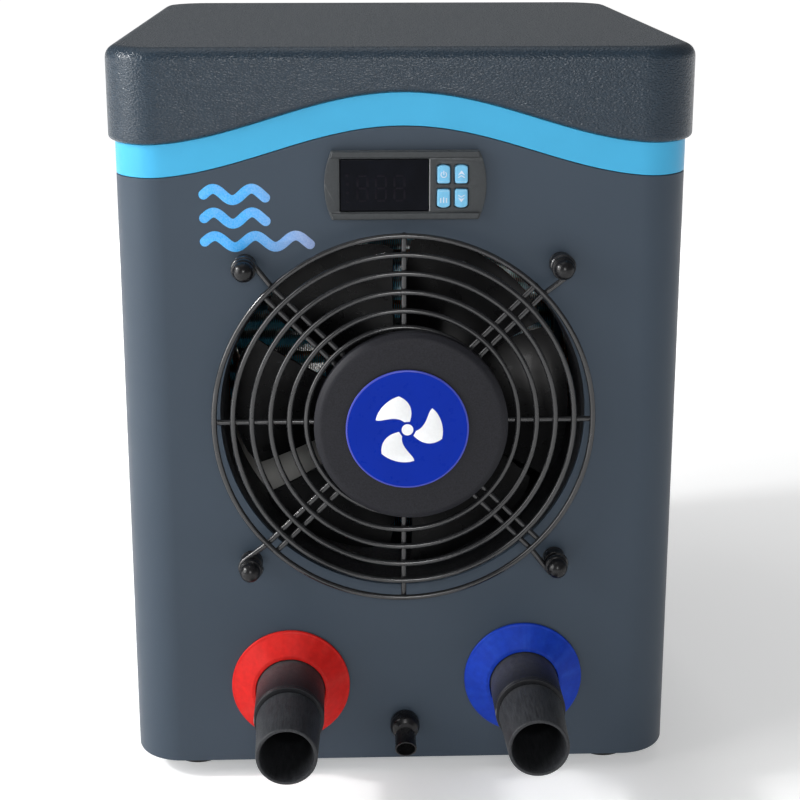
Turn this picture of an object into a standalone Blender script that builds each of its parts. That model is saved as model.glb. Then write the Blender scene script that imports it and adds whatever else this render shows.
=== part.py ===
"""Mini pool heat pump: an air-source water heater in a moulded casing.

Metres, +Z up, front towards -Y. The origin is the middle of the whole
unit's footprint, on the floor.
"""
import math

import bmesh
import bpy
from mathutils import Matrix, Vector

MM = 0.001
GAP = 0.3 * MM
MERGE = 0.00005

# Driving dimensions
CASE_W = 304 * MM
CASE_D = 345 * MM
CASE_R = 27 * MM
WALL = 3 * MM
HEIGHT = 412 * MM
CASE_BOTTOM = 10 * MM
LID_OVERHANG = 3.5 * MM
LID_ROUND = 7 * MM
PIPE_REACH = 82 * MM
GLAND_REACH = 14 * MM
FRONT_Y = (PIPE_REACH - CASE_D - GLAND_REACH) / 2
REAR_Y = FRONT_Y + CASE_D
SEAM_Y = (FRONT_Y + REAR_Y) / 2

# The lid's lower edge: flat at the sides, one cosine hump in the middle
EDGE_Z = 362 * MM
WAVE_RISE = 27 * MM
WAVE_HALF = 138 * MM
BAND_H = 17.3 * MM
BAND_T = 1.3 * MM
TUCK = 6 * MM

# Fan, guard and shroud, all on one axis
FAN_Z = 215 * MM
OPENING_R = 98.5 * MM
RING_RADII = [36 * MM, 52 * MM, 61 * MM, 71 * MM, 81 * MM, 91 * MM, 101 * MM]
WIRE_R = 1.5 * MM
GUARD_OUT = 12 * MM
SPOKE_DROP = 2.3 * MM
TWIN = 3.3 * MM                     # half the distance between the two wires of a diagonal spoke
POST_OFFSET = 83.4 * MM
POST_R = 6.2 * MM
NECK_R = 3.7 * MM
NECK = (7.9 * MM, 11.5 * MM)
CAP_R = 5.5 * MM
CAP_REACH = 21.5 * MM
DISC_R = 51.5 * MM
DISC_SHIFT = (3.6 * MM, -0.4 * MM)
BADGE_R = 32.5 * MM
BADGE_SHIFT = (1.4 * MM, -0.7 * MM)
BLADES = 6
BLADE_START = 36            # degrees: one front edge, anticlockwise from +X
BLADE_TIP_R = 93.5 * MM
CUP_R = 43 * MM
SHAFT_R = 4 * MM

# Water ports
PORT_AT = {"left": (-63 * MM, 57 * MM), "right": (67.5 * MM, 59.5 * MM)}
PORT_HOLE_R = 17.6 * MM
BORE_R = 13 * MM
THREAD_R = 17 * MM
TAIL_STEP = 42.5 * MM               # the hose tail narrows this far ahead of the panel
WATER_R = 10.2 * MM

# Controller
CTRL_X = 1 * MM
CTRL_Z = 341.2 * MM
CTRL_H = 36 * MM
CTRL_SIDE = 38.4 * MM
CTRL_BULGE = 3.8 * MM
CTRL_FACE = 4.3 * MM
RAIL_H = 3.7 * MM
BUTTON_W = 6.6 * MM
BUTTON_H = 9.8 * MM
BUTTONS = {
    "power_button": (19.8 * MM, 5.85 * MM, 1),
    "up_button": (29.0 * MM, 5.85 * MM, 1),
    "mode_button": (19.8 * MM, -6.9 * MM, -1),
    "down_button": (29.0 * MM, -6.9 * MM, -1),
}
WINDOW_X = (-34.2 * MM, 12.4 * MM)
WINDOW_H = 27.8 * MM

# Inside
PAN_Z = 15 * MM
EVAP_W = 236 * MM
EVAP_Z = (30 * MM, 330 * MM)
EVAP_MID_Y = REAR_Y - 33 * MM
EVAP_D = 26 * MM
EVAP_SPINE = 13 * MM
EVAP_FINS = 20
EVAP_TUBES = 8
EVAP_TUBE_R = 3.5 * MM
COMP_AT = (62 * MM, FRONT_Y + 165 * MM)
COMP_R = 48 * MM
HX_AT = (-66 * MM, FRONT_Y + 150 * MM)
HX_R = 50 * MM
HX_TOP = 165 * MM
COIL_ENDS = [26 * MM, -26 * MM]     # the coil's two upright legs, beside the vessel's axis
COIL_TOP = HX_TOP + 14 * MM
ACCUMULATOR_AT = (COMP_AT[0] + 54 * MM, COMP_AT[1] + 46 * MM)
DRIER_AT = (-112 * MM, FRONT_Y + 235 * MM)
BOX_HALF = 110 * MM
BOX_Y = (FRONT_Y + 70 * MM, FRONT_Y + 230 * MM)
BOX_Z = (330 * MM, 374 * MM)
FOOT_AT = (118 * MM, 30 * MM)
GRILLE_Z = (40 * MM, 320 * MM)
GRILLE_W = 232 * MM
GRILLE_ROWS = 18
GRILLE_COLUMNS = 2
NOZZLE_AT = (1 * MM, 32 * MM)
NOZZLE_DIP = 22                     # degrees below level
GLAND_AT = (95 * MM, 336 * MM)

FACE_ROT = (math.pi / 2, 0, 0)      # local +Z points forward, -Y


# ---------------------------------------------------------------- helpers

def clear_scene():
    for obj in list(bpy.data.objects):
        bpy.data.objects.remove(obj, do_unlink=True)


def collection(name):
    made = bpy.data.collections.new(name)
    bpy.context.scene.collection.children.link(made)
    return made


def material(name, color, rough, metal=0.0):
    made = bpy.data.materials.new(name)
    made.use_nodes = True
    shader = made.node_tree.nodes["Principled BSDF"]
    shader.inputs["Base Color"].default_value = (*color, 1)
    shader.inputs["Roughness"].default_value = rough
    shader.inputs["Metallic"].default_value = metal
    return made


def place(obj, name, mat, cutter=False):
    """Puts an object in the parts, or in the cutters if cutter is true."""
    obj.name = name
    obj.data.name = name
    for home in list(obj.users_collection):
        home.objects.unlink(obj)
    (CUTTERS if cutter else PARTS).objects.link(obj)
    if cutter:
        obj.hide_render = True
        obj.display_type = 'WIRE'
    elif mat is not None:
        obj.data.materials.clear()
        own = mat.copy()
        own.name = name
        obj.data.materials.append(own)
    return obj


def from_bmesh(bm, name, mat, cutter=False):
    mesh = bpy.data.meshes.new(name)
    bm.to_mesh(mesh)
    bm.free()
    return place(bpy.data.objects.new(name, mesh), name, mat, cutter)


def box(name, low, high, mat=None, cutter=False):
    """A box between two corners."""
    bm = bmesh.new()
    low, high = Vector(low), Vector(high)
    size = high - low
    bmesh.ops.create_cube(bm, size=1, matrix=Matrix.Translation((low + high) / 2)
                          @ Matrix.Diagonal((*size, 1)))
    return from_bmesh(bm, name, mat, cutter)


def rod(name, radius, low, high, at, axis='Z', sides=24, mat=None, cutter=False):
    """A cylinder along an axis, from low to high, at the two other coordinates."""
    bm = bmesh.new()
    turn = {'Z': Matrix(), 'Y': Matrix.Rotation(math.pi / 2, 4, 'X'),
            'X': Matrix.Rotation(math.pi / 2, 4, 'Y')}[axis]
    middle = list(at)
    middle.insert('XYZ'.index(axis), (low + high) / 2)
    bmesh.ops.create_cone(bm, cap_ends=True, segments=sides, radius1=radius, radius2=radius,
                          depth=abs(high - low), matrix=Matrix.Translation(middle) @ turn)
    return from_bmesh(bm, name, mat, cutter)


def turned(name, profile, at, rotation=(0, 0, 0), sides=32, closed=True, mat=None, cutter=False):
    """Turns a profile of (radius, height) points, the outer side given top to bottom."""
    bm = bmesh.new()
    verts = [bm.verts.new((r, 0, z)) for r, z in profile]
    for start, end in zip(verts, verts[1:]):
        bm.edges.new((start, end))
    if closed:
        bm.edges.new((verts[-1], verts[0]))
    obj = from_bmesh(bm, name, mat, cutter)
    screw = obj.modifiers.new("Screw", 'SCREW')
    screw.steps = sides
    screw.render_steps = sides
    screw.use_merge_vertices = True
    screw.merge_threshold = MERGE
    screw.use_smooth_shade = True
    obj.location = at
    obj.rotation_euler = rotation
    return obj


def front_turned(name, profile, x, z, **options):
    """A turned piece on an axis through the front panel; heights run forward from it."""
    return turned(name, profile, (x, FRONT_Y, z), FACE_ROT, **options)


def tube(name, points, radius, mat=None, sides=6, cyclic=False, caps=True, cutter=False):
    """A round wire or pipe along a list of points."""
    curve = bpy.data.curves.new(name, 'CURVE')
    curve.dimensions = '3D'
    spline = curve.splines.new('POLY')
    spline.points.add(len(points) - 1)
    for point, co in zip(spline.points, points):
        point.co = (*co, 1)
    spline.use_cyclic_u = cyclic
    curve.bevel_depth = radius
    curve.bevel_resolution = (sides - 4) // 2
    curve.use_fill_caps = caps
    return place(bpy.data.objects.new(name, curve), name, mat, cutter)


def prism(name, outline, low, high, axis='Z', mat=None, cutter=False):
    """A flat outline extruded from low to high along an axis.

    On Z the outline is (x, y); on Y it is (x, z)."""
    curve = bpy.data.curves.new(name, 'CURVE')
    curve.dimensions = '2D'
    curve.fill_mode = 'BOTH'
    curve.extrude = (high - low) / 2
    spline = curve.splines.new('POLY')
    spline.points.add(len(outline) - 1)
    for point, (u, v) in zip(spline.points, outline):
        point.co = (u, v, 0, 1)
    spline.use_cyclic_u = True
    obj = place(bpy.data.objects.new(name, curve), name, mat, cutter)
    middle = (low + high) / 2
    obj.location = (0, 0, middle) if axis == 'Z' else (0, middle, 0)
    obj.rotation_euler = (0, 0, 0) if axis == 'Z' else FACE_ROT
    return as_mesh(obj)


def as_mesh(obj):
    """Swaps a curve for its mesh, welded, so that Booleans can use it."""
    bpy.context.view_layer.update()
    graph = bpy.context.evaluated_depsgraph_get()
    mesh = bpy.data.meshes.new_from_object(obj.evaluated_get(graph))
    bm = bmesh.new()
    bm.from_mesh(mesh)
    bmesh.ops.remove_doubles(bm, verts=bm.verts, dist=MERGE)
    bmesh.ops.recalc_face_normals(bm, faces=bm.faces)
    bm.to_mesh(mesh)
    bm.free()
    name = obj.name
    made = bpy.data.objects.new(name + "_mesh", mesh)
    made.matrix_world = obj.matrix_world
    for home in obj.users_collection:
        home.objects.link(made)
    made.hide_render = obj.hide_render
    made.display_type = obj.display_type
    bpy.data.objects.remove(obj, do_unlink=True)
    made.name = name
    mesh.name = name
    return made


def boolean(obj, cutters, operation='DIFFERENCE'):
    for cutter in cutters:
        step = obj.modifiers.new(cutter.name, 'BOOLEAN')
        step.operation = operation
        step.solver = 'EXACT'
        step.object = cutter
    return obj


def bevel(obj, width, segments=2, angle=40):
    step = obj.modifiers.new("Bevel", 'BEVEL')
    step.width = width
    step.segments = segments
    step.limit_method = 'ANGLE'
    step.angle_limit = math.radians(angle)
    return obj


def arc(cx, cy, radius, start, end, steps):
    """Points of an arc, in degrees, both ends included."""
    angles = [math.radians(start + (end - start) * k / steps) for k in range(steps + 1)]
    return [(cx + radius * math.cos(a), cy + radius * math.sin(a)) for a in angles]


def edge_z(x):
    """Height of the lid's lower edge at x."""
    if abs(x) >= WAVE_HALF:
        return EDGE_Z
    return EDGE_Z + WAVE_RISE * (0.5 + 0.5 * math.cos(math.pi * x / WAVE_HALF))


def half_outline(inset, y_end, side, steps=4, samples=16):
    """Plan outline of the front (side -1) or rear (side 1) half shell, from left to right."""
    half_w = CASE_W / 2 - inset
    radius = CASE_R - inset
    y_face = (FRONT_Y + inset) if side < 0 else (REAR_Y - inset)
    cy = y_face - side * radius
    cx = half_w - radius
    left = arc(-cx, cy, radius, 180, 180 - side * 90, steps)
    right = arc(cx, cy, radius, side * 90, 0, steps)
    span = [(-cx + 2 * cx * k / samples, y_face) for k in range(1, samples)]
    return [(-half_w, y_end)] + left + span + right + [(half_w, y_end)]


def ring_outline(inset, samples=16):
    """The whole plan outline, anticlockwise; samples divides the straight front and rear."""
    front = half_outline(inset, SEAM_Y, -1, samples=samples)
    rear = half_outline(inset, SEAM_Y, 1, samples=samples)
    return front + rear[::-1][1:-1]


def wavy_wall(name, outline, low, high, thickness, closed, mat=None, cutter=False, inward=True):
    """An upright wall on a plan outline; low and high give the edges' heights at x."""
    bm = bmesh.new()
    bottom = [bm.verts.new((x, y, low(x))) for x, y in outline]
    pairs = list(zip(bottom, bottom[1:]))
    if closed:
        pairs.append((bottom[-1], bottom[0]))
    edges = [bm.edges.new(pair) for pair in pairs]
    made = bmesh.ops.extrude_edge_only(bm, edges=edges)
    for vert in made["geom"]:
        if isinstance(vert, bmesh.types.BMVert):
            vert.co.z = high(vert.co.x)
    bm.normal_update()
    middle = sum((Vector((x, y, 0)) for x, y in outline), Vector()) / len(outline)
    face = next(iter(bm.faces))
    towards = face.calc_center_median() - middle
    if face.normal.dot(Vector((towards.x, towards.y, 0))) < 0:
        bmesh.ops.reverse_faces(bm, faces=bm.faces)
    obj = from_bmesh(bm, name, mat, cutter)
    shell = obj.modifiers.new("Solidify", 'SOLIDIFY')
    shell.thickness = thickness
    shell.offset = -1 if inward else 1
    shell.use_even_offset = True
    return obj


def outer_hull_prism(name, inset, low, high, mat=None, cutter=False):
    """The casing's plan outline as a solid, from low to high."""
    path = ring_outline(inset, samples=1)
    path = [point for point in path if abs(point[1] - SEAM_Y) > GAP]
    return prism(name, path, low, high, mat=mat, cutter=cutter)


# ---------------------------------------------------------------- casing

def casing_half(name, side):
    """One U-shaped half shell, recessed on top for the band."""
    seam = SEAM_Y + side * GAP / 2
    wall = wavy_wall(name, half_outline(0, seam, side), lambda x: CASE_BOTTOM,
                     lambda x: edge_z(x) + TUCK, WALL, False, mat=M["casing"])
    recess_path = half_outline(BAND_T + GAP, SEAM_Y - side * 3 * MM, side)
    recess = wavy_wall(name + "_recess", recess_path, lambda x: edge_z(x) - BAND_H - GAP,
                       lambda x: edge_z(x) + 2 * TUCK, 6 * MM, False, cutter=True, inward=False)
    return boolean(wall, [recess])


def front_cuts():
    """Holes in the front half shell."""
    thick = (FRONT_Y - WALL, FRONT_Y + 2 * WALL)
    cuts = [rod("cut_fan", OPENING_R, *thick, (0, FAN_Z), 'Y', 44, cutter=True)]
    for side, at in PORT_AT.items():
        cuts.append(rod("cut_port_" + side, PORT_HOLE_R, *thick, at, 'Y', 20, cutter=True))
    cuts.append(rod("cut_nozzle", 5.5 * MM, *thick, NOZZLE_AT, 'Y', 12, cutter=True))
    cuts.append(box("cut_controller", (CTRL_X - 36.3 * MM, thick[0], CTRL_Z - 15.5 * MM),
                    (CTRL_X + 36.3 * MM, thick[1], CTRL_Z + 15.5 * MM), cutter=True))
    return cuts


def rear_cuts():
    thick = (REAR_Y - 2 * WALL, REAR_Y + WALL)
    grille = box("cut_grille", (-GRILLE_W / 2, thick[0], GRILLE_Z[0]),
                 (GRILLE_W / 2, thick[1], GRILLE_Z[1]), cutter=True)
    gland = rod("cut_gland", 6.5 * MM, *thick, GLAND_AT, 'Y', 16, cutter=True)
    return [grille, gland]


def make_casings():
    boolean(casing_half("front_casing", -1), front_cuts())
    boolean(casing_half("rear_casing", 1), rear_cuts())


def make_band():
    wavy_wall("accent_band", ring_outline(0), lambda x: edge_z(x) - BAND_H, edge_z, BAND_T, True,
              mat=M["band"])


def make_lid():
    """A cap: wavy skirt, flat top, rounded rim, open below."""
    bm = bmesh.new()
    path = ring_outline(-LID_OVERHANG)
    bottom = [bm.verts.new((x, y, edge_z(x) + GAP)) for x, y in path]
    edges = [bm.edges.new(pair) for pair in zip(bottom, bottom[1:] + bottom[:1])]
    made = bmesh.ops.extrude_edge_only(bm, edges=edges)
    top = [item for item in made["geom"] if isinstance(item, bmesh.types.BMVert)]
    for vert in top:
        vert.co.z = HEIGHT
    bmesh.ops.contextual_create(bm, geom=[item for item in made["geom"]
                                          if isinstance(item, bmesh.types.BMEdge)])
    bmesh.ops.recalc_face_normals(bm, faces=bm.faces)
    lid = from_bmesh(bm, "top_lid", M["lid"])
    bevel(lid, LID_ROUND, 3, 60)
    shell = lid.modifiers.new("Solidify", 'SOLIDIFY')
    shell.thickness = WALL
    shell.offset = -1
    shell.use_even_offset = True
    return lid


def make_base():
    """A tray inside the shells' lower edge, with its drain hole."""
    pan = outer_hull_prism("base_pan", WALL + 2 * GAP, 12 * MM, 25 * MM, mat=M["casing"])
    hollow = outer_hull_prism("pan_hollow", WALL + 2 * GAP + 2.5 * MM, PAN_Z, 40 * MM, cutter=True)
    drain = rod("pan_drain", 5 * MM, 5 * MM, 20 * MM, (0, FRONT_Y + 45 * MM), sides=12, cutter=True)
    boolean(pan, [hollow, drain])
    profile = [(12 * MM, 11.7 * MM), (13 * MM, 9 * MM), (15 * MM, 2 * MM), (14 * MM, 0)]
    profile = [(0, 11.7 * MM)] + profile + [(0, 0)]
    for name, sx, sy in (("front_left", -1, -1), ("front_right", 1, -1),
                         ("rear_left", -1, 1), ("rear_right", 1, 1)):
        y = (FRONT_Y + FOOT_AT[1]) if sy < 0 else (REAR_Y - FOOT_AT[1])
        turned("foot_" + name, profile, (sx * FOOT_AT[0], y, 0), sides=20, closed=False,
               mat=M["rubber"])


def make_rear_grille():
    """A slotted plate that fills the rear opening, with a flange behind it."""
    flange = 5.7 * MM
    margin = 8 * MM
    bar = 6.5 * MM
    back = REAR_Y - WALL - GAP
    low, high = GRILLE_Z
    half = GRILLE_W / 2
    plate = box("rear_grille", (-half - flange, back - 2 * MM, low - flange),
                (half + flange, back, high + flange), M["black"])
    raised = box("grille_raised", (-half + GAP, back - 1 * MM, low + GAP),
                 (half - GAP, REAR_Y, high - GAP), cutter=True)
    bm = bmesh.new()
    pitch_z = (high - low - 2 * margin) / GRILLE_ROWS
    pitch_x = (GRILLE_W - 12 * MM) / GRILLE_COLUMNS
    size = (pitch_x - 8 * MM, 20 * MM, pitch_z - bar, 1)
    for row in range(GRILLE_ROWS):
        for column in range(GRILLE_COLUMNS):
            centre = Vector(((column - (GRILLE_COLUMNS - 1) / 2) * pitch_x, REAR_Y - 2 * MM,
                             low + margin + (row + 0.5) * pitch_z))
            bmesh.ops.create_cube(bm, size=1, matrix=Matrix.Translation(centre)
                                  @ Matrix.Diagonal(size))
    slots = from_bmesh(bm, "grille_slots", None, cutter=True)
    boolean(plate, [raised], 'UNION')
    boolean(plate, [slots])


# ---------------------------------------------------------------- fan and guard

def ring_points(radius, y, steps):
    return [(x, y, z + FAN_Z) for x, z in arc(0, 0, radius, 0, 360 - 360 / steps, steps - 1)]


def diagonal_wires(angle, y):
    """The two wires of a diagonal spoke; the end of one curls round a post's neck."""
    post_r = POST_OFFSET * math.sqrt(2)
    curl = arc(post_r, 0, NECK_R + WIRE_R + GAP, -100, 135, 7)
    hooked = [(RING_RADII[0], -TWIN), (post_r - 17 * MM, -TWIN)] + curl
    plain = [(RING_RADII[0], TWIN), (RING_RADII[-1] + 0.4 * MM, TWIN)]
    c, s = math.cos(angle), math.sin(angle)
    return [[(u * c - v * s, y, FAN_Z + u * s + v * c) for u, v in local] for local in (hooked, plain)]


def make_guard():
    """Seven wire rings on four single spokes and four double ones, all welded."""
    ring_y = FRONT_Y - GUARD_OUT
    spoke_y = ring_y + SPOKE_DROP
    bm = bmesh.new()
    for radius in RING_RADII:
        steps = 30 if radius > 60 * MM else 20
        ring = as_mesh(tube("ring", ring_points(radius, ring_y, steps), WIRE_R, cyclic=True))
        bm.from_mesh(ring.data)
        bpy.data.objects.remove(ring, do_unlink=True)
    guard = from_bmesh(bm, "fan_guard", M["wire"])
    bm = bmesh.new()
    for quarter in range(4):
        angle = quarter * math.pi / 2
        c, s = math.cos(angle), math.sin(angle)
        ends = [RING_RADII[0], RING_RADII[-1] + 0.4 * MM]
        paths = [[(r * c, spoke_y, FAN_Z + r * s) for r in ends]]
        paths += diagonal_wires(angle + math.pi / 4, spoke_y)
        for path in paths:
            wire = as_mesh(tube("spoke", path, WIRE_R))
            bm.from_mesh(wire.data)
            bpy.data.objects.remove(wire, do_unlink=True)
    spokes = from_bmesh(bm, "guard_spokes", None, cutter=True)
    boolean(guard, [spokes], 'UNION')


def make_hub_cover():
    """A shallow dished disc on the guard, with a round badge in a shallow seat."""
    x, z = DISC_SHIFT[0], FAN_Z + DISC_SHIFT[1]
    back = GUARD_OUT + WIRE_R + GAP
    rim = back + 3 * MM
    face = back + 8.5 * MM
    profile = [(0, face), (47.5 * MM, face - 1 * MM), (50.5 * MM, rim + 3 * MM), (DISC_R, rim + 1 * MM),
               (DISC_R, back), (49.3 * MM, back), (44 * MM, face - 3.6 * MM), (0, face - 2.8 * MM)]
    front_turned("guard_hub_disc", profile, x, z, sides=36, closed=False, mat=M["hub"])
    badge = [(0, face + 1.3 * MM), (BADGE_R - 1 * MM, face + 1.1 * MM), (BADGE_R, face + 0.6 * MM),
             (BADGE_R, face + GAP), (0, face + GAP)]
    front_turned("guard_badge", badge, BADGE_SHIFT[0], FAN_Z + BADGE_SHIFT[1], sides=28, closed=False,
                 mat=M["badge"])


def make_posts():
    """Four posts with a ball end and a neck that a guard wire hooks round."""
    centre = CAP_REACH - CAP_R
    post = [(0, CAP_REACH)]
    post += [(r, centre + h) for r, h in arc(0, 0, CAP_R, 66, 0, 3)]
    post += [(CAP_R, centre - 1 * MM), (POST_R, centre - 2 * MM), (POST_R, NECK[1]), (NECK_R, NECK[1]),
             (NECK_R, NECK[0]), (POST_R, NECK[0]), (POST_R, GAP), (0, GAP)]
    for name, sx, sz in (("top_left", -1, 1), ("top_right", 1, 1),
                         ("bottom_left", -1, -1), ("bottom_right", 1, -1)):
        x, z = sx * POST_OFFSET, FAN_Z + sz * POST_OFFSET
        front_turned("guard_post_" + name, post, x, z, sides=12, closed=False, mat=M["gloss"])


def make_shroud():
    """The venturi ring behind the opening."""
    near = -WALL - GAP
    far = -50 * MM
    inner = 97 * MM
    profile = [(108 * MM, near), (108 * MM, near - 2 * MM), (inner + 2.5 * MM, near - 2 * MM),
               (inner + 2.5 * MM, far), (inner, far), (inner, near - 1 * MM), (inner + 1 * MM, near)]
    front_turned("fan_shroud", profile, 0, FAN_Z, sides=30, mat=M["black"])


def make_motor():
    """An external-rotor motor: the stator hangs on the guard and the cup turns round it."""
    front = GUARD_OUT - SPOKE_DROP - WIRE_R - GAP
    end = -38 * MM
    pocket = 9.3 * MM
    stator = [(40 * MM, front), (40 * MM, front - 3 * MM), (36 * MM, front - 4 * MM), (36 * MM, end),
              (pocket, end), (pocket, end + 9.6 * MM), (6 * MM, end + 9.6 * MM),
              (6 * MM, -9.9 * MM), (pocket, -9.9 * MM), (pocket, 0), (0, 0), (0, front)]
    front_turned("fan_motor", stator[-1:] + stator[:-1], 0, FAN_Z, sides=20, closed=False,
                 mat=M["motor"])
    race = [(9 * MM, 4.5 * MM), (9 * MM, -4.5 * MM), (SHAFT_R + GAP, -4.5 * MM),
            (SHAFT_R + GAP, 4.5 * MM)]
    for name, forward in (("front", -5.1 * MM), ("rear", end + 4.6 * MM)):
        turned("bearing_" + name, race, (0, FRONT_Y - forward, FAN_Z), FACE_ROT, sides=16,
               mat=M["steel"])
    shaft = [(0, -0.6 * MM), (SHAFT_R, -1 * MM), (SHAFT_R, -51 * MM), (0, -51 * MM)]
    front_turned("fan_shaft", shaft, 0, FAN_Z, sides=16, closed=False, mat=M["steel"])


def make_blades():
    """Swept, pitched blades that reach from the cup nearly to the shroud."""
    across, along = 3, 3
    root = CUP_R - 1.2 * MM
    bm = bmesh.new()
    for blade in range(BLADES):
        grid = []
        for i in range(across + 1):
            u = i / across
            radius = root + (BLADE_TIP_R - root) * u
            start = BLADE_START + 360 * blade / BLADES - 3 * u
            width = 54 - u
            depth = (33 - 9 * u) * MM
            row = []
            for j in range(along + 1):
                v = j / along
                angle = math.radians(start + v * width)
                camber = 12 * MM * v * (1 - v)
                y = FRONT_Y + 25 * MM + (v - 0.5) * depth + camber
                row.append(bm.verts.new((radius * math.cos(angle), y,
                                         radius * math.sin(angle) + FAN_Z)))
            grid.append(row)
        for i in range(across):
            for j in range(along):
                bm.faces.new((grid[i][j], grid[i + 1][j], grid[i + 1][j + 1], grid[i][j + 1]))
    blades = from_bmesh(bm, "rotor_blades", None, cutter=True)
    shell = blades.modifiers.new("Solidify", 'SOLIDIFY')
    shell.thickness = 2 * MM
    shell.offset = 0
    return blades


def make_rotor():
    cup = [(CUP_R, -3 * MM), (CUP_R, -46 * MM), (SHAFT_R + GAP, -46 * MM), (SHAFT_R + GAP, -43 * MM),
           (CUP_R - 3 * MM, -43 * MM), (CUP_R - 3 * MM, -3 * MM)]
    rotor = front_turned("fan_rotor", cup, 0, FAN_Z, sides=24, mat=M["blade"])
    boolean(rotor, [make_blades()], 'UNION')


# ---------------------------------------------------------------- controller

def button_outline(x, z, grow, flip):
    """A small key with one arched end, up if flip is 1 and down if it is -1."""
    w, h = BUTTON_W / 2 + grow, BUTTON_H / 2 + grow
    shoulder = h - 1.6 * MM
    rise = [(x + w * math.sin(t), z + flip * (shoulder + 1.6 * MM * math.cos(t)))
            for t in [math.radians(-90 + 30 * k) for k in range(7)]]
    chamfer = 0.9 * MM
    foot = [(x + w, z - flip * (h - chamfer)), (x + w - chamfer, z - flip * h),
            (x - w + chamfer, z - flip * h), (x - w, z - flip * (h - chamfer))]
    path = rise + foot
    return path if flip < 0 else path[::-1]


def make_bezel():
    """The raised panel round the display and keys, its ends bulging outwards."""
    half = CTRL_H / 2
    end_r = (half * half + CTRL_BULGE * CTRL_BULGE) / (2 * CTRL_BULGE)
    swing = math.degrees(math.asin(half / end_r))
    centre = CTRL_SIDE + CTRL_BULGE - end_r
    path = arc(centre, 0, end_r, -swing, swing, 8)
    path += arc(-centre, 0, end_r, 180 - swing, 180 + swing, 8)
    path = [(x + CTRL_X, z + CTRL_Z) for x, z in path]
    bezel = prism("controller_bezel", path, FRONT_Y - CTRL_FACE, FRONT_Y - GAP, 'Y', M["bezel"])
    rails = []
    for name, low in (("lower", -half), ("upper", half - RAIL_H)):
        rails.append(box("rail_" + name, (CTRL_X - CTRL_SIDE, FRONT_Y - CTRL_FACE - 1.7 * MM,
                                          CTRL_Z + low + 0.2 * MM),
                         (CTRL_X + CTRL_SIDE, FRONT_Y - 1.3 * MM, CTRL_Z + low + RAIL_H - 0.2 * MM),
                         cutter=True))
    boolean(bezel, rails, 'UNION')
    thick = (FRONT_Y - 10 * MM, FRONT_Y + 2 * MM)
    window = box("cut_window", (CTRL_X + WINDOW_X[0], thick[0], CTRL_Z - WINDOW_H / 2),
                 (CTRL_X + WINDOW_X[1], thick[1], CTRL_Z + WINDOW_H / 2), cutter=True)
    holes = [window]
    for name, (dx, dz, flip) in BUTTONS.items():
        holes.append(prism("cut_" + name, button_outline(CTRL_X + dx, CTRL_Z + dz, GAP, flip),
                           *thick, 'Y', cutter=True))
    boolean(bezel, holes)


def make_buttons():
    for name, (dx, dz, flip) in BUTTONS.items():
        x, z = CTRL_X + dx, CTRL_Z + dz
        key = prism(name, button_outline(x, z, 0, flip), FRONT_Y - CTRL_FACE - 1.1 * MM,
                    FRONT_Y + 0.6 * MM, 'Y', M["key"])
        collar = box(name + "_collar", (x - 4.1 * MM, FRONT_Y, z - 5.6 * MM),
                     (x + 4.1 * MM, FRONT_Y + 1.2 * MM, z + 5.6 * MM), cutter=True)
        boolean(key, [collar], 'UNION')


def make_controller():
    make_bezel()
    make_buttons()
    inset = 0.4 * MM
    box("display_window", (CTRL_X + WINDOW_X[0] + inset, FRONT_Y - CTRL_FACE + 0.5 * MM,
                           CTRL_Z - WINDOW_H / 2 + inset),
        (CTRL_X + WINDOW_X[1] - inset, FRONT_Y - 2.2 * MM, CTRL_Z + WINDOW_H / 2 - inset), M["screen"])
    board = box("controller_board", (CTRL_X - 33 * MM, FRONT_Y + 4.2 * MM, CTRL_Z - 12.6 * MM),
                (CTRL_X + 33.6 * MM, FRONT_Y + 5.8 * MM, CTRL_Z + 12.6 * MM), M["board"])
    module = box("display_module", (CTRL_X + WINDOW_X[0] + 3 * MM, FRONT_Y - 1.9 * MM, CTRL_Z - 12 * MM),
                 (CTRL_X + WINDOW_X[1] - inset, FRONT_Y + 4.9 * MM, CTRL_Z + 12 * MM), cutter=True)
    domes = [rod(name + "_switch", 1.8 * MM, FRONT_Y + 2.5 * MM, FRONT_Y + 4.9 * MM,
                 (CTRL_X + dx, CTRL_Z + dz), 'Y', 8, cutter=True)
             for name, (dx, dz, flip) in BUTTONS.items()]
    boolean(board, [module] + domes, 'UNION')
    half_w, half_h = 35.7 * MM, 15 * MM
    housing = box("controller_housing", (CTRL_X - half_w, FRONT_Y, CTRL_Z - half_h),
                  (CTRL_X + half_w, FRONT_Y + 18 * MM, CTRL_Z + half_h), M["black"])
    hollow = box("housing_hollow", (CTRL_X - half_w + 1.7 * MM, FRONT_Y - 5 * MM, CTRL_Z - 13 * MM),
                 (CTRL_X + half_w - 1.7 * MM, FRONT_Y + 16 * MM, CTRL_Z + 13 * MM), cutter=True)
    wires = rod("housing_wire_hole", 4 * MM, FRONT_Y + 10 * MM, FRONT_Y + 25 * MM,
                (CTRL_X, CTRL_Z), 'Y', 12, cutter=True)
    boolean(housing, [hollow, wires])


# ---------------------------------------------------------------- water side

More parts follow.
